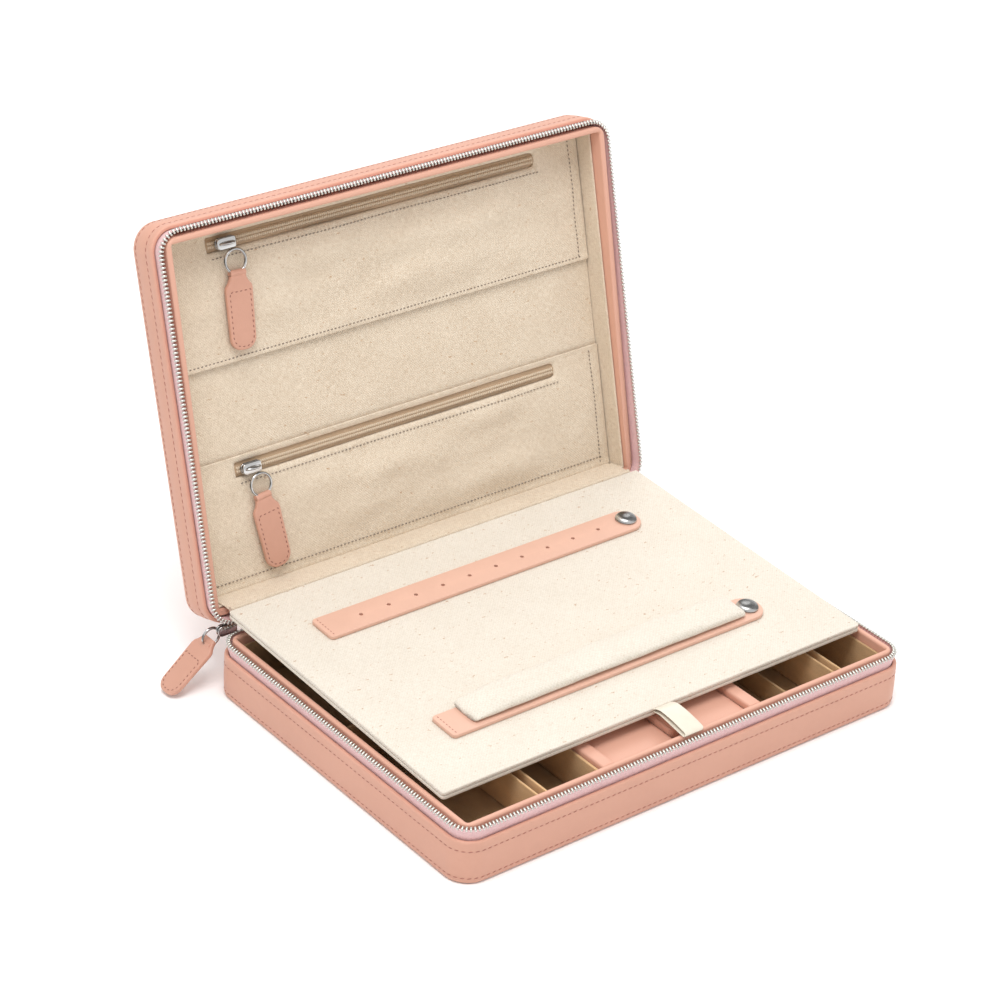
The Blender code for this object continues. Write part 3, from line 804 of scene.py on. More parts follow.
# ---- leather shells -------------------------------------------------------------------------
def shell_profile(rim_z, inside, outside, seams):
    """From the outer floor round the wall, with a shallow seam groove at each row of stitches."""
    s = 1 if rim_z > outside else -1
    e, lip = 0.0018, 0.0010
    points = [(0.0060, outside)]
    points += [(e - e * math.sin(t), outside + s * (e - e * math.cos(t))) for t in
               (math.pi / 2 * k / 6 for k in range(7))]
    for z in sorted(seams, key=lambda v: s * v):
        points += [(-0.0001, z - s * 0.0009), (0.00012, z), (-0.0001, z + s * 0.0009)]
        if z == min(seams, key=lambda v: s * v):
            points.append((-0.00022, (seams[0] + seams[1]) / 2))
    points += [(0, rim_z - s * lip)]
    points += [(lip - lip * math.cos(t), rim_z - s * (lip - lip * math.sin(t))) for t in
               (math.pi / 2 * k / 4 for k in range(1, 5))]
    points += [(0.0018, rim_z - s * 0.0002), (0.0020, rim_z - s * 0.0007), (0.0020, inside)]
    return points


class CASE_OT_shells(bpy.types.Operator):
    """Make both leather shells with their rows of stitches"""
    bl_idname = "case.shells"
    bl_label = "Leather shells"

    def execute(self, context):
        low = round_case("base_leather_shell", shell_profile(BASE_H, SHELL_T, 0.0, BASE_SEAMS),
                         "blush_leather", kind="box")
        settle(low, "base", "leather", "base_shell")
        high = round_case("lid_leather_shell", shell_profile(LID_Z0, LID_Z1 - SHELL_T, LID_Z1, LID_SEAMS),
                          "blush_leather", kind="box", place=LID)
        settle(high, "lid", "leather", "lid_shell")
        for body, place, heights in (("base", WORLD, BASE_SEAMS), ("lid", LID, LID_SEAMS)):
            paths = []
            for z in heights:
                points, outs = rim(0.00002, z)
                paths.append((points, outs, True))
            settle(stitches(f"{body}_shell_stitches", paths, place=place), body, "leather")
        return {"FINISHED"}


class CASE_OT_case_zip(bpy.types.Operator):
    """Make the woven tapes and the metal teeth of the case zip"""
    bl_idname = "case.case_zip"
    bl_label = "Case zip"

    def execute(self, context):
        sizes = context.scene.case_sizes
        tape = [(0.0023, 0.0130), (0.0023, 0.0212), (0.0021, 0.0226), (0.0015, 0.0244), (0.0011, 0.0256),
                (0.0011, 0.0268), (0.0018, 0.0270), (0.0021, 0.0262), (0.0023, 0.0248), (0.0029, 0.0228),
                (0.0031, 0.0212), (0.0031, 0.0130)]
        for body, place, flip in (("base", WORLD, False), ("lid", LID, True)):
            profile = [(i, 2 * PART_Z - z) for i, z in tape] if flip else tape
            made = round_case(f"{body}_tape", profile, "case_tape", kind="band", place=place)
            settle(made, body, "zip_tape", f"{body}_zip_tape")
            z = 2 * PART_Z - TOOTH_Z if flip else TOOTH_Z
            points, outs = rim(0.0017, z, tail=TAPE_END)
            up = Vector((0, 0, -1 if flip else 1))
            facing = [(out * 0.55 + up).normalized() for out in outs]
            teeth = repeat(f"{body}_teeth", "zip_teeth", [(points, facing, False)], "tooth_metal",
                           place=place, Spacing=sizes.tooth_pitch, Along=0.00108, Across=sizes.tooth_width,
                           Height=0.0013, Lean=0.0, Uneven=0.02)
            settle(teeth, body, "metal", f"{body}_zip_teeth")
        return {"FINISHED"}


class CASE_OT_inner_frames(bpy.types.Operator):
    """Make the leather frames inside the zip and the leather spine at the hinge"""
    bl_idname = "case.inner_frames"
    bl_label = "Inner frames and spine"

    def execute(self, context):
        r = 0.0012
        low = [(RIM_OUT, 0.0028), (RIM_OUT, 0.0140)] + bend(RIM_OUT + r, RIM_TOP - r, r, 180, 90)
        low += bend(RIM_IN - r, RIM_TOP - r, r, 90, 0) + [(RIM_IN, 0.0140), (RIM_IN, 0.0028)]
        settle(round_case("base_leather_frame", low, "inner_leather"), "base", "leather", "base_inner_frame")
        high = [(i, LID_IN if z < 0.003 else 2 * PART_Z - z) for i, z in low]

        def clear_back(y, z):
            share = min(1.0, max(0.0, (y - 0.0822) / 0.0026))
            return max(z, PART_Z + (0.0345 - PART_Z) * share * share * (3 - 2 * share))

        made = round_case("lid_leather_frame", high, "inner_leather", lift=clear_back, place=LID)
        settle(made, "lid", "leather", "lid_inner_frame")
        path = [(0.0911, 0.0132), (0.0911, 0.0190), (0.0912, 0.0232), (0.0917, 0.0262), (0.0931, 0.0287),
                (0.0952, 0.0302), (0.0978, 0.0309), (0.1004, 0.0309), (0.1032, 0.0304), (0.1072, 0.0295)]
        columns = runs([-0.1050, 0.1050], 0.0105)
        verts, faces = grid(columns, list(range(len(path))), lambda x, j: (x, *path[j]))
        spine = piece("leather_spine", verts, faces, "blush_leather", thick=0.0011, bevel=0.0003, levels=1)
        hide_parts("base_spine", "lid_spine")
        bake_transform(spine)
        return {"FINISHED"}


# ---- tray -----------------------------------------------------------------------------------
class CASE_OT_tray(bpy.types.Operator):
    """Make the velvet tray and its dividers"""
    bl_idname = "case.tray"
    bl_label = "Velvet tray"

    def execute(self, context):
        t, r = 0.0013, 0.0006
        i = TRAY_IN
        profile = [(i, 0.0028), (i, 0.0234)] + bend(i + r, 0.0240 - r, r, 180, 90, 3)
        profile += bend(i + t - r, 0.0240 - r, r, 90, 0, 3) + [(i + t, TRAY_FLOOR + 0.0008)]
        profile += [(i + t + 0.0003, TRAY_FLOOR + 0.0002), (i + t + 0.0012, TRAY_FLOOR)]
        made = round_case("velvet_tray", profile, "tray_velvet", kind="box")
        settle(made, "base", "velvet", "tray_insert")
        for node in frame["nodes"]:
            if node.startswith("divider_"):
                low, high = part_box(node)
                # painted light: these divider pads take the lighter copy of the tray velvet
                pale = node.startswith(("divider_left", "divider_right", "divider_centre"))
                soft = block(f"{node}_pad", low, high, "velvet_painted_lighter" if pale else "tray_velvet",
                             bevel=0.00052, steps=4)
                settle(soft, "base", "velvet", node)
        return {"FINISHED"}


class CASE_OT_centre(bpy.types.Operator):
    """Make the leather-covered middle block with its borders, sunk panels and bar"""
    bl_idname = "case.centre"
    bl_label = "Centre block"

    def execute(self, context):
        low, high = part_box("centre_block")
        settle(block("centre_leather_block", low, high, "inner_leather", bevel=0.0006), "base", "leather",
               "centre_block")
        for side in ("left", "right"):
            low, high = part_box(f"centre_border_{side}")
            outline = rounded(low.x, low.y, high.x, high.y, [0.0012] * 4, 5)
            made = slab(f"centre_leather_border_{side}", outline, low.z, high.z, "inner_leather",
                        bevel=0.0013, steps=5)
            settle(made, "base", "leather", f"centre_border_{side}")
            low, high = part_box(f"centre_panel_{side}")
            columns, rows = runs([low.x, high.x], 0.003), runs([low.y, high.y], 0.004)

            def sunk(x, y):
                u = math.sin(math.pi * (x - low.x) / (high.x - low.x))
                v = math.sin(math.pi * (y - low.y) / (high.y - low.y))
                return x, y, high.z - 0.0004 + 0.0008 * math.sqrt(max(0, u * v))

            verts, faces = grid(columns, rows, sunk)
            made = piece(f"centre_leather_panel_{side}", verts, faces, "inner_leather",
                         thick=0.0008, levels=1)
            settle(made, "base", "leather", f"centre_panel_{side}")
        low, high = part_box("centre_bar")
        outline = rounded(low.x, low.y, high.x, high.y, [0.0028, 0.001, 0.001, 0.0028], 8)
        made = slab("centre_leather_bar", outline, low.z, high.z, "inner_leather", bevel=0.0014, steps=5)
        settle(made, "base", "leather", "centre_bar")
        return {"FINISHED"}


# ---- lid lining and pockets -----------------------------------------------------------------
def pocket_rise(p, x, y, belly):
    """How far a pocket's cloth stands off its board: belly, soft wrinkles, and the edges sewn down."""
    wrinkle, lip, lip_dip = 0.0020, 0.0012, 0.0009
    (x0, x1), (y0, y1), zip_y = p["x"], p["y"], p["zip"]
    across = min(1.0, max(0.0, (x + LINE_X) / (2 * LINE_X)))
    down = min(1.0, max(0.0, (y - zip_y) / (y1 - zip_y)))
    free = 0.0 if y < zip_y else math.sin(math.pi * down) ** 0.8 * math.sin(math.pi * across) ** 0.4
    folds = noise.noise(Vector((x * 14, y * 60, zip_y * 90)))
    folds += 0.6 * noise.noise(Vector((x * 34 + y * 25, y * 75, 4.0)))
    edge = min(1.0, (LINE_X - abs(x)) / 0.010, (y1 - y) / 0.006, (y - y0) / 0.004)
    # the cloth lies flatter under the pull at both ends of its travel
    pull_x = p["slider"] + 0.003
    under_pull = max(math.exp(-((x - pull_x - run) / 0.014) ** 2) for run in (0.0, PULL_TRAVEL))
    free *= 1 - 0.55 * under_pull
    rise = belly * free + wrinkle * (1 - 0.82 * under_pull) * folds * max(0.0, edge) * (0.35 + free)
    gap = math.hypot(max(x0 - x, 0, x - x1), max(abs(y - zip_y) - SLOT_HALF, 0))
    if gap < lip:
        rise -= lip_dip * (1 - gap / lip) ** 2
    return rise


class CASE_OT_lining(bpy.types.Operator):
    """Make the lid's cloth sides, board and the strip that joins the flap"""
    bl_idname = "case.lining"
    bl_label = "Lid lining"

    def execute(self, context):
        i, t = TRAY_IN, 0.0010
        profile = [(i, LID_IN), (i, 0.0372)] + bend(i + t / 2, 0.0368, t / 2, 180, 360, 6)
        profile += [(i + t, 0.0372), (i + t, LID_IN)]
        made = round_case("lid_cloth_sides", profile, "lining_linen", place=LID)
        settle(made, "lid", "canvas", "lid_lining")
        columns, rows = runs([-LINE_X, LINE_X], 0.004), runs([-LINE_Y, LINE_Y], 0.004)

        def board(x, y):
            ripple = 0.00018 * noise.noise(Vector((x * 25, y * 60, 2.0)))
            return x, y, PANEL_Z + 0.0022 + ripple

        verts, faces = grid(columns, rows, board)
        made = piece("lid_cloth_board", verts, faces, "lining_linen", place=LID, thick=0.0008)
        settle(made, "lid", "canvas", "lid_backing")
        path = [(0.0849, 0.0466), (0.0848, 0.0450), (0.0848, 0.0420), (0.0848, 0.0385), (0.0850, 0.0355),
                (0.0855, 0.0330), (0.0860, 0.0312), (0.0864, 0.0298)]

        def strip(x, j):
            y, z = path[j]
            return x, y - 0.0002 * noise.noise(Vector((x * 30, z * 90, 7.0))), z

        columns = runs([-0.1200, 0.1200], 0.004)
        verts, faces = grid(columns, list(range(len(path))), strip)
        made = piece("flap_joining_cloth", verts, faces, "lining_linen", place=LID, thick=0.0006, levels=1)
        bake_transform(made)
        fold = [Vector((x, 0, 0)) for x in (-0.1195, -0.06, 0, 0.06, 0.1195)]
        made = tube("flap_cloth_roll", fold, 0.0015, "lining_linen", sides=14, place=FLAP)
        settle(made, "flap_fold", "canvas")
        return {"FINISHED"}


class CASE_OT_pockets(bpy.types.Operator):
    """Make the two cloth pockets with their rows of stitches"""
    bl_idname = "case.pockets"
    bl_label = "Lid pockets"

    def execute(self, context):
        belly = context.scene.case_sizes.pocket_belly
        lines = []
        for name, p in POCKETS.items():
            (x0, x1), (y0, y1), zip_y = p["x"], p["y"], p["zip"]
            slot0, slot1 = zip_y - SLOT_HALF, zip_y + SLOT_HALF
            columns = runs([-LINE_X, x0 - 0.0014, x0, x1 - 0.003, x1, x1 + 0.0014, LINE_X], 0.0019)
            below = [y0, slot0 - 0.0012, slot0 - 0.0004, slot0]
            rows = runs(below + [slot1, slot1 + 0.0004, slot1 + 0.0012, y1], 0.0014)

            def face(x, y):
                # the slot's right end is drawn in to a round
                into = x - x1 + 0.0031
                if 0 < into <= 0.0031 and abs(abs(y - zip_y) - SLOT_HALF) < 1e-6:
                    y = zip_y + math.copysign(SLOT_HALF - 0.0011 * (into / 0.0031) ** 2, y - zip_y)
                hem = 0.00045 if min(abs(y - y0), abs(y - y1)) < 0.0016 else 0.0
                return x, y, PANEL_Z + 0.0005 - pocket_rise(p, x, y, belly) - hem

            verts, faces = grid(columns, rows, face, lambda x, y: x0 < x < x1 and slot0 < y < slot1)
            made = piece(f"{name}_pocket_cloth", verts, faces, "lining_linen", place=LID,
                         thick=0.0009, levels=1)
            settle(made, "lid", "canvas", f"{name}_pocket")

            seam_x = 0.1147
            sewn = y1 - (0.0022 if name == "upper" else 0.0052)
            for seam in (
                [(x, slot1 + 0.0026) for x in runs([x0 + 0.002, x1 + 0.001], 0.002)],
                [(seam_x, y) for y in runs([y0 + 0.003, y1 - 0.003], 0.002)],
                [(x, sewn) for x in runs([-0.1150, 0.1150], 0.002)],
            ):
                points = [Vector((x, y, PANEL_Z - 0.0003 - pocket_rise(p, x, y, belly))) for x, y in seam]
                lines.append((points, (0, 0, -1), False))
        made = stitches("pocket_stitches", lines, "linen_thread", fine=True, place=LID, Across=0.00056)
        settle(made, "lid", "canvas")
        return {"FINISHED"}


def zip_slider(name, centre, place):
    """Zip slider: two plates, a nose, and the bail that carries the ring. It lies along x."""
    x, y, z = centre
    k = 1.2
    parts = []
    for low, high in ((-0.0004, 0.0006), (0.0014, 0.0024)):
        outline = rounded(x - 0.0045 * k, y - 0.0027, x + 0.0040 * k, y + 0.0027,
                          [0.0012, 0.0012, 0.0022, 0.0022], 6)
        parts.append(slab(f"{name}_plate", outline, z + low, z + high, "bright_metal",
                          place=place, bevel=0.0003))
    parts.append(block(f"{name}_neck", (x - 0.0042 * k, y - 0.0009, z),
                       (x - 0.0016 * k, y + 0.0009, z + 0.0018), "bright_metal", place=place, bevel=0.0002))
    bail = [Vector((x - 0.0030 * k + 0.0062 * k * s, y, z - 0.0003 - 0.0017 * math.sin(math.pi * s) ** 0.6))
            for s in (j / 14 for j in range(15))]
    parts.append(tube(f"{name}_bail", bail, 0.00062, "bright_metal", place=place))
    return join(name, parts)


def tab_outline(reach, half, steps=8):
    """Pull tab along +x from its neck, shoulders widening from the ring."""
    tip = bend(reach - 0.0058, -half + 0.0062, 0.0058, 278, 360, steps)
    top = [(x, -y) for x, y in reversed(tip)]
    lower = [(-0.0038, -0.0042), (-0.0022, -0.0045), (-0.0004, -0.0055)]
    lower += [(0.0012, -half * 0.95), (0.0030, -half)]
    upper = [(x, -y) for x, y in reversed(lower)]
    return lower + tip + top + upper


def leather_pull(name, reach, place, neck):
    """Leather pull with a folded neck round its ring, its stitches made by pull_stitches; neck is where the
    wire passes.
    """
    body = slab(f"{name}_tab", tab_outline(reach, TAB_HALF), -TAB_T / 2, TAB_T / 2, "pull_leather",
                place=place, bevel=0.00075, steps=4)
    bight = [Vector((neck, y, 0)) for y in (-0.0040, -0.0026, 0, 0.0026, 0.0040)]
    loop = tube(f"{name}_neck", bight, TAB_T / 2 + 0.0004, "pull_leather", sides=18, place=place)
    half_t = TAB_T / 2 * 0.95
    tongue = slab(f"{name}_tongue", rounded(neck, -0.0040, -0.0010, 0.0040, [0.0004] * 4, 3),
                  -half_t, half_t, "pull_leather", place=place, bevel=0.0005)
    return join(name, [body, loop, tongue])


def pull_stitches(name, reach, place, first=0.0036):
    """A row sewn round the pull's edge on each face, closed across near the ring."""
    i = 0.0017
    tip = bend(reach - 0.0058, -TAB_HALF + 0.0062, 0.0058 - i, 285, 360, 7)
    side = [(x, -TAB_HALF + i) for x in runs([first, reach - 0.0058], 0.003)]
    half = side + tip
    outline = half + [(x, -y) for x, y in reversed(half)]
    lines = []
    for up in (1, -1):
        z = up * (TAB_T / 2 + 0.00002)
        lines.append(([Vector((x, y, z)) for x, y in outline], (0, 0, up), True))
    return stitches(name, lines, "pull_thread", fine=True, place=place,
                    Spacing=0.0025, Along=0.0014, Across=0.00048)


class CASE_OT_pocket_zips(bpy.types.Operator):
    """Make the pocket zips: tape, coil, slider, ring and stitched pull"""
    bl_idname = "case.pocket_zips"
    bl_label = "Pocket zips"

    def execute(self, context):
        sizes = context.scene.case_sizes
        for name, p in POCKETS.items():
            x0, x1 = p["x"]
            zip_y = p["zip"]
            section = [(0.0009, 0.0004), (0.0018, 0.0006), (0.0022, 0.0011), (0.0030, 0.0011),
                       (0.0040, 0.0016), (0.0052, 0.0018)]
            depth = {zip_y - out: down for out, down in reversed(section)}
            depth.update({zip_y + out: down for out, down in section})
            verts, faces = grid(runs([x0 - 0.0015, x1 + 0.0015], 0.006), list(depth),
                                lambda x, y: (x, y, PANEL_Z + 0.0006 + depth[y]))
            tape = piece(f"{name}_zip_cloth_tape", verts, faces, "pocket_tape", place=LID, thick=0.0004)
            settle(tape, "lid", "pocket_zip", f"{name}_zip_tape")
            lines = []
            for y in (zip_y - 0.00085, zip_y + 0.00085):
                points = [Vector((x, y, PANEL_Z + 0.0007)) for x in runs([x0 + 0.001, x1 - 0.001], 0.01)]
                lines.append((points, (0, 0, -1), False))
            coil = repeat(f"{name}_zip_nylon_coil", "sewn_stitches", lines, "coil_nylon", place=LID,
                          Spacing=sizes.coil_pitch, Along=0.00100, Across=0.0017, Height=0.0011, Lean=0.10,
                          Uneven=0.02)
            settle(coil, "lid", "pocket_zip", f"{name}_zip_coil")
            sx = p["slider"]
            slider = zip_slider(f"{name}_slider_metal", (sx, zip_y, PANEL_Z - 0.0026), LID)
            settle(slider, f"{name}_slider", "metal", f"{name}_zip_slider")
            centre = (sx + 0.0030, zip_y + 0.0028 + RING_R + WIRE, PANEL_Z - 0.0030)
            wire = tube(f"{name}_ring_metal", hoop(centre, RING_R, "Z"), WIRE, "bright_metal",
                        closed=True, place=LID)
            settle(wire, f"{name}_slider", "metal", f"{name}_zip_ring")
            swing = Vector((centre[0], centre[1] + RING_R, centre[2]))
            turn = (LID @ Matrix.Translation(swing) @ Matrix.Rotation(math.radians(90 - p["tilt"]), 4, "Z")
                    @ Matrix.Translation(Vector((0.0048, 0, 0))))
            pull = leather_pull(f"{name}_pull_leather", PULL_REACH, turn, -0.0048)
            settle(pull, f"{name}_pull", "leather", f"{name}_zip_pull")
            settle(pull_stitches(f"{name}_pull_stitches", PULL_REACH, turn), f"{name}_pull", "leather")
        return {"FINISHED"}


class CASE_OT_case_slider(bpy.types.Operator):
    """Make the case zip's slider, ring and stitched pull"""
    bl_idname = "case.case_slider"
    bl_label = "Case zip slider"

    def execute(self, context):
        low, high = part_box("case_zip_slider")
        mid = (low + high) / 2
        place = Matrix.Translation(mid) @ Matrix.Rotation(math.pi / 2, 4, "X")
        slider = zip_slider("case_slider_metal", (0, 0, -0.0010), place)
        settle(slider, "case_slider", "metal", "case_zip_slider")
        low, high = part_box("case_zip_ring")
        centre = (low + high) / 2
        radius = (high.x - low.x) / 2 - WIRE
        wire = tube("case_ring_metal", hoop(centre, radius, "Y"), WIRE, "bright_metal", closed=True)
        settle(wire, "case_slider", "metal", "case_zip_ring")
        low_left = radius * math.sqrt(0.5)
        axis = Vector((centre.x - low_left, centre.y, centre.z - low_left))
        slope = math.asin((axis.z - 0.0015) / CASE_PULL_REACH)
        turn = Matrix.Translation(axis) @ Matrix.Rotation(math.pi, 4, "Z") @ Matrix.Rotation(slope, 4, "Y")
        pull = leather_pull("case_pull_leather", CASE_PULL_REACH, turn, -0.0006)
        settle(pull, "case_pull", "leather", "case_zip_pull")
        settle(pull_stitches("case_pull_stitches", CASE_PULL_REACH, turn, 0.0078), "case_pull", "leather")
        return {"FINISHED"}


# ---- flap -----------------------------------------------------------------------------------
class CASE_OT_flap(bpy.types.Operator):
    """Make the flap's two cloth-covered boards"""
    bl_idname = "case.flap"
    bl_label = "Flap"

    def execute(self, context):
        outline = rounded(-FLAP_HALF, -FLAP_LENGTH, FLAP_HALF, -0.0026, [0.0018, 0.0010, 0.0010, 0.0018], 5)
        top, under = (
            slab(name, outline, z0, z1, "flap_canvas", place=FLAP, bevel=0.0006, steps=4) for name, z0, z1 in
            (("flap_top_board", 0.00008, 0.0020), ("flap_under_board", -0.0020, -0.00008)))
        for board, nodes in ((top, ("flap_upper_board", "flap_cloth_fold")), (under, ("flap_lower_board",))):
            cross_cuts(board, FLAP, 1, [-0.0125 - 0.0007 * k for k in range(9)])
            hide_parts(*nodes)
            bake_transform(board)
        return {"FINISHED"}


def lathe(name, profile, centre, finish, place, steps=40):
    """Turned piece about its local z axis: (radius, z) pairs from its foot to its crown."""
    verts = []
    for r, z in profile:
        for k in range(steps):
            a = 2 * math.pi * k / steps
            verts.append((centre[0] + r * math.cos(a), centre[1] + r * math.sin(a), z))
    faces = skin(len(profile), steps, False, True)
    faces += [tuple(range(steps)), tuple((len(profile) - 1) * steps + k for k in range(steps))]
    return piece(name, verts, faces, finish, place=place, sharp=50)


def punch_holes(strap, y, z0, z1):
    """Row of earring holes through the strap, each with a dark disc of painted shade at its foot."""
    centres = [(HOLE_X + k * HOLE_PITCH, y) for k in range(HOLES)]
    cutters = []
    for k, (x, _) in enumerate(centres):
        hole = [(x + HOLE_R * math.cos(a), y + HOLE_R * math.sin(a)) for a in
                (2 * math.pi * j / 14 for j in range(14))]
        cutters.append(slab(f"hole_{k}", hole, z0 - 0.002, z1 + 0.002, "strap_leather", place=FLAP))
    punch = join("punch", cutters)
    cut = strap.modifiers.new("holes", "BOOLEAN")
    cut.operation = "DIFFERENCE"
    cut.solver = "EXACT"
    cut.object = punch
    flatten(strap)
    bpy.data.objects.remove(punch, do_unlink=True)
    # painted shade: a dark disc in the thread's colour sits at the foot of each hole, standing in for the
    # shade inside it
    floor = [(0.00115, z0 + 0.0002), (0.00115, z0 + 0.0006)]
    painted_shade_discs = [lathe(f"hole_painted_shade_{k}", floor, centre, "pull_thread", FLAP, steps=14)
              for k, centre in enumerate(centres)]
    return join(strap.name, [strap] + painted_shade_discs)


class CASE_OT_straps(bpy.types.Operator):
    """Make the earring strap and the ring strap with their sewn ends and snap caps"""
    bl_idname = "case.straps"
    bl_label = "Flap straps"

    def execute(self, context):
        sewn_lines = []
        for name, s in STRAPS.items():
            x0, x1 = s["x"]
            y, h = s["y"], s["half"]
            split = x0 + SEWN
            z0, z1 = STRAP_Z - 0.0002, STRAP_Z + STRAP_T
            outline = rounded(x0, y - h, x1, y + h, [h * 0.98, h * 0.98, 0.0022, 0.0022], 14)
            strap = slab(f"{name}_strap_leather", outline, z0, z1, "strap_leather", place=FLAP,
                         bevel=0.00055, steps=4)
            if name == "earring":
                strap = punch_holes(strap, y, z0, z1)
            cross_cuts(strap, FLAP, 0, [split - 0.0036 + 0.0009 * k for k in range(9)])
            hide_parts(f"{name}_strap_end", f"{name}_strap")
            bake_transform(strap)
            seam_ys = runs([y - h + 0.0022, y + h - 0.0022], 0.002)
            seam = [Vector((x0 + 0.0024, v, z1 + 0.00002)) for v in seam_ys]
            sewn_lines.append((seam, (0, 0, 1), False))
            cap_z = z1 - 0.0001
            profile = [(0.0040, cap_z), (0.0051, cap_z + 0.0001), (0.0054, cap_z + 0.0006)]
            profile.append((0.0053, cap_z + 0.0010))
            profile += [(0.0051 * math.cos(t), cap_z + 0.0010 + 0.0022 * math.sin(t)) for t in
                        (math.pi / 2 * k / 10 for k in range(1, 10))]
            profile.append((0.0003, cap_z + 0.0032))
            cap = lathe(f"{name}_snap_cap_metal", profile, (x1 - 0.0072, y), "cap_metal", FLAP)
            settle(cap, f"{name}_strap", "metal", f"{name}_snap_cap")
        made = stitches("strap_end_stitches", sewn_lines, fine=True, place=FLAP, Across=0.0004)
        settle(made, "flap", "leather")
        return {"FINISHED"}


class CASE_OT_ring_roll(bpy.types.Operator):
    """Make the padded canvas ring roll"""
    bl_idname = "case.ring_roll"
    bl_label = "Ring roll"

    def execute(self, context):
        s = STRAPS["ring"]
        x0, x1 = ROLL_X
        foot = STRAP_Z + STRAP_T - 0.0002
        y = s["y"] + 0.0020
        half, tall, around = 0.0089, 0.0062, 40
        end_size = 0.42
        stations = runs([x0, x0 + 0.002, x0 + 0.008, x1 - 0.008, x1 - 0.002, x1], 0.0016)
        verts = []
        for x in stations:
            # drawn in softly towards both ends, more slowly at the sewn one
            left = end_size + 0.58 * min(1.0, (x - x0) / 0.018) ** 0.7
            size = min(left, end_size + 0.58 * min(1.0, (x1 - x) / 0.012) ** 0.5)
            for k in range(around):
                a = 2 * math.pi * k / around
                c, d = math.cos(a), math.sin(a)
                crease = noise.noise(Vector((x * 60, c * 1.4, d * 1.4))) * 0.00045
                crease += noise.noise(Vector((x * 160 + c, c * 2, d * 2 + 5))) * 0.0002 * (1.6 - size)
                u = math.copysign(abs(c) ** 0.75, c) * (half * (0.88 + 0.12 * size) + crease)
                v = math.copysign(abs(d) ** 0.80, d) * (tall / 2 * size + (crease if d > 0 else 0))
                verts.append((x, y + u, foot + tall / 2 * size + v))
        n = len(stations)
        faces = skin(n, around, False, True)
        faces += [tuple(range(around)), tuple((n - 1) * around + k for k in range(around))]
        roll = piece("ring_roll_pad", verts, faces, "roll_canvas", place=FLAP, levels=1, sharp=70)
        settle(roll, "ring_strap", "canvas", "ring_roll")
        return {"FINISHED"}


class CASE_OT_ribbon(bpy.types.Operator):
    """Make the satin ribbon loop at the flap's front edge"""
    bl_idname = "case.ribbon"
    bl_label = "Ribbon loop"

    def execute(self, context):
        start = FLAP @ Vector((0, -FLAP_LENGTH - 0.0003, 0.0028))
        place = Matrix.Translation(start) @ Matrix.Rotation(math.radians(9.5), 4, "X")
        reach, half = 0.0222, 0.0054
        path = []
        for k in range(13):
            t = k / 12
            drop = -0.0026 * (1 - t / 0.25) ** 2 if t < 0.25 else 0.0
            path.append((-reach * t + 0.0012, drop + 0.0002 + 0.0010 * math.sin(math.pi * t) * (1 - t * 0.6)))
        path += [(-reach + 0.0006, -0.0006), (-reach + 0.0012, -0.0010)]
        for k in range(1, 11):
            t = k / 10
            drop = -0.0018 * max(0.0, (t - 0.7) / 0.3) ** 2
            path.append((-reach + 0.0012 + (reach - 0.0010) * t, -0.0010 + drop))

        def lay(x, j):
            y, z = path[j]
            return x + (0.0012 * math.sin(math.pi * j / 24) if j < 13 else 0), y, z

        verts, faces = grid(runs([-half, half], 0.0018), list(range(len(path))), lay)
        ribbon = piece("ribbon_loop", verts, faces, "ribbon_satin", place=place, thick=0.00028, levels=1)
        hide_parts("flap_ribbon")
        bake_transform(ribbon)
        return {"FINISHED"}


# ---- floor, lights, camera ------------------------------------------------------------------
def area_light(name, at, target, size, power):
    data = bpy.data.lights.new(name, "AREA")
    data.shape = "DISK"
    data.size = size
    data.energy = power
    lamp = bpy.data.objects.new(name, data)
    lamp.location = at
    lamp.rotation_mode = "QUATERNION"
    lamp.rotation_quaternion = (Vector(target) - Vector(at)).to_track_quat("-Z", "Y")
    bpy.context.scene.collection.objects.link(lamp)


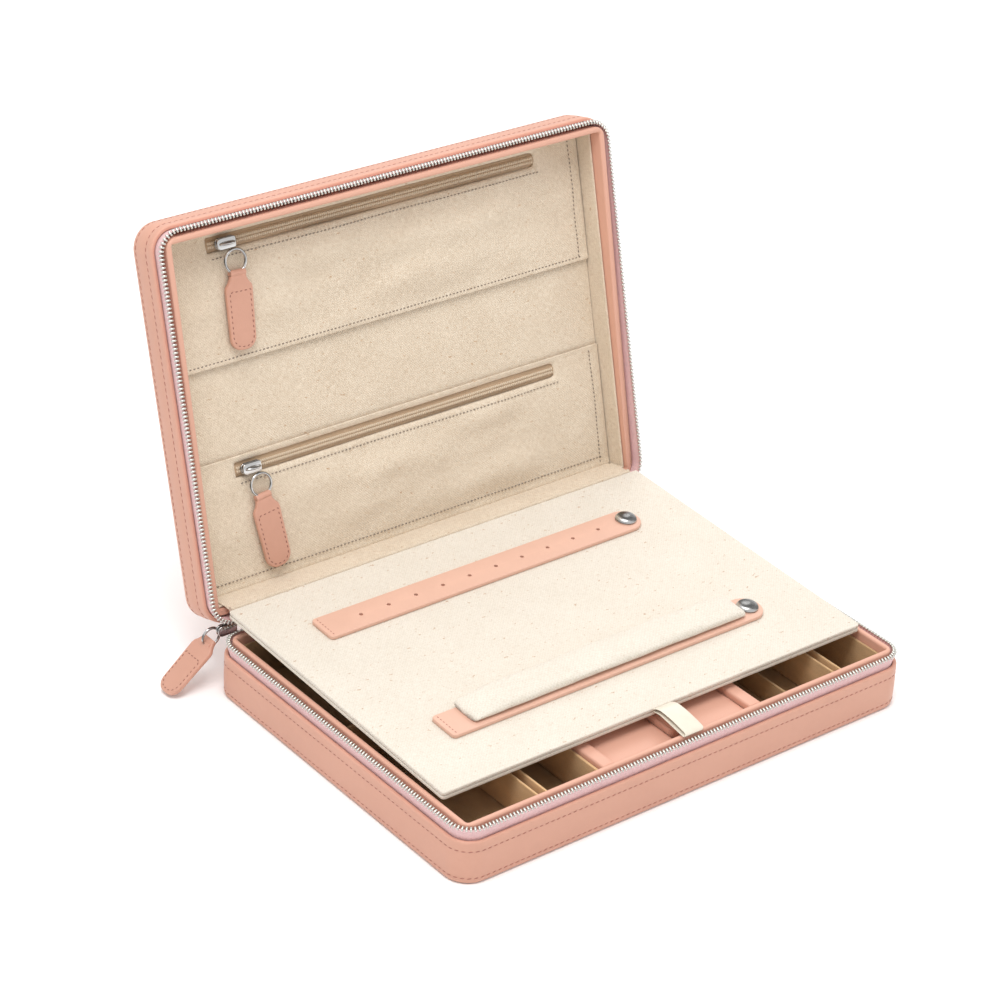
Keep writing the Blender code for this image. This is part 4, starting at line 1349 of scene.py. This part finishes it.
class CASE_OT_stage(bpy.types.Operator):
    """Make the floor, the lights and the camera"""
    bl_idname = "case.stage"
    bl_label = "Stage"

    def execute(self, context):
        scene = context.scene
        light = scene.case_stage
        mesh = bpy.data.meshes.new("floor")
        mesh.from_pydata([(-6, -6, 0), (6, -6, 0), (6, 6, 0), (-6, 6, 0)], [], [(0, 1, 2, 3)])
        floor = bpy.data.objects.new("floor", mesh)
        floor.location = (0, 0, -0.00005)
        scene.collection.objects.link(floor)
        pale = bpy.data.materials.new("pale_floor")
        pale.use_nodes = True
        shader = pale.node_tree.nodes["Principled BSDF"]
        shader.inputs["Base Color"].default_value = (0.97, 0.97, 0.97, 1)
        shader.inputs["Roughness"].default_value = 0.9
        shader.inputs["Specular IOR Level"].default_value = 0.1
        mesh.materials.append(pale)
        world = bpy.data.worlds.new("soft_white")
        world.use_nodes = True
        sky = world.node_tree.nodes["Background"]
        sky.inputs["Color"].default_value = (1, 1, 1, 1)
        sky.inputs["Strength"].default_value = light.sky
        scene.world = world
        area_light("key", (-0.38, -0.22, 1.5), (0, 0, 0.05), 0.9, light.key)
        area_light("fill", (1.1, -0.35, 0.7), (0, 0, 0.08), 0.9, light.fill)
        area_light("backdrop", (1.1, 1.3, 1.7), (0.75, 0.9, 0), 1.2, light.backdrop)
        scene.view_settings.view_transform = "Standard"
        scene.view_settings.look = "None"
        data = bpy.data.cameras.new("camera")
        data.lens = CAMERA_LENS
        data.sensor_width = 36
        data.clip_start = 0.05
        data.clip_end = 50
        camera = bpy.data.objects.new("camera", data)
        level = math.cos(CAMERA_RISE)
        back = Vector((math.sin(CAMERA_TURN) * level, -math.cos(CAMERA_TURN) * level, math.sin(CAMERA_RISE)))
        right = (-back).cross(Vector((0, 0, 1))).normalized()
        up = right.cross(-back)
        x_axis = math.cos(CAMERA_ROLL) * right + math.sin(CAMERA_ROLL) * up
        y_axis = -math.sin(CAMERA_ROLL) * right + math.cos(CAMERA_ROLL) * up
        place = Matrix((x_axis, y_axis, back)).transposed().to_4x4()
        place.translation = CAMERA_AIM + back * CAMERA_AWAY
        camera.matrix_world = place
        scene.collection.objects.link(camera)
        scene.camera = camera
        return {"FINISHED"}


OPERATORS = (
    CASE_OT_stage, CASE_OT_shells, CASE_OT_case_zip, CASE_OT_inner_frames, CASE_OT_tray, CASE_OT_centre,
    CASE_OT_lining, CASE_OT_pockets, CASE_OT_pocket_zips, CASE_OT_case_slider, CASE_OT_flap, CASE_OT_straps,
    CASE_OT_ring_roll, CASE_OT_ribbon,
)


class CASE_PT_panel(bpy.types.Panel):
    """Sizes, colours and the steps that build the case"""
    bl_idname = "CASE_PT_panel"
    bl_label = "Jewelry Case"
    bl_space_type = "VIEW_3D"
    bl_region_type = "UI"
    bl_category = "Jewelry Case"

    def draw(self, context):
        for settings in (context.scene.case_sizes, context.scene.case_colours, context.scene.case_stage):
            box = self.layout.box()
            for key in settings.__annotations__:
                box.prop(settings, key)
        for operator in OPERATORS:
            self.layout.operator(operator.bl_idname)


CLASSES = (CaseSizes, CaseColours, CaseStage, *OPERATORS, CASE_PT_panel)


def register():
    for item in CLASSES:
        bpy.utils.register_class(item)
    bpy.types.Scene.case_sizes = bpy.props.PointerProperty(type=CaseSizes)
    bpy.types.Scene.case_colours = bpy.props.PointerProperty(type=CaseColours)
    bpy.types.Scene.case_stage = bpy.props.PointerProperty(type=CaseStage)


def unregister():
    del bpy.types.Scene.case_sizes
    del bpy.types.Scene.case_colours
    del bpy.types.Scene.case_stage
    for item in reversed(CLASSES):
        bpy.utils.unregister_class(item)


def main():
    register()
    build_finishes()
    for operator in OPERATORS:
        group, action = operator.bl_idname.split(".")
        getattr(getattr(bpy.ops, group), action)()


if __name__ == "__main__":
    main()
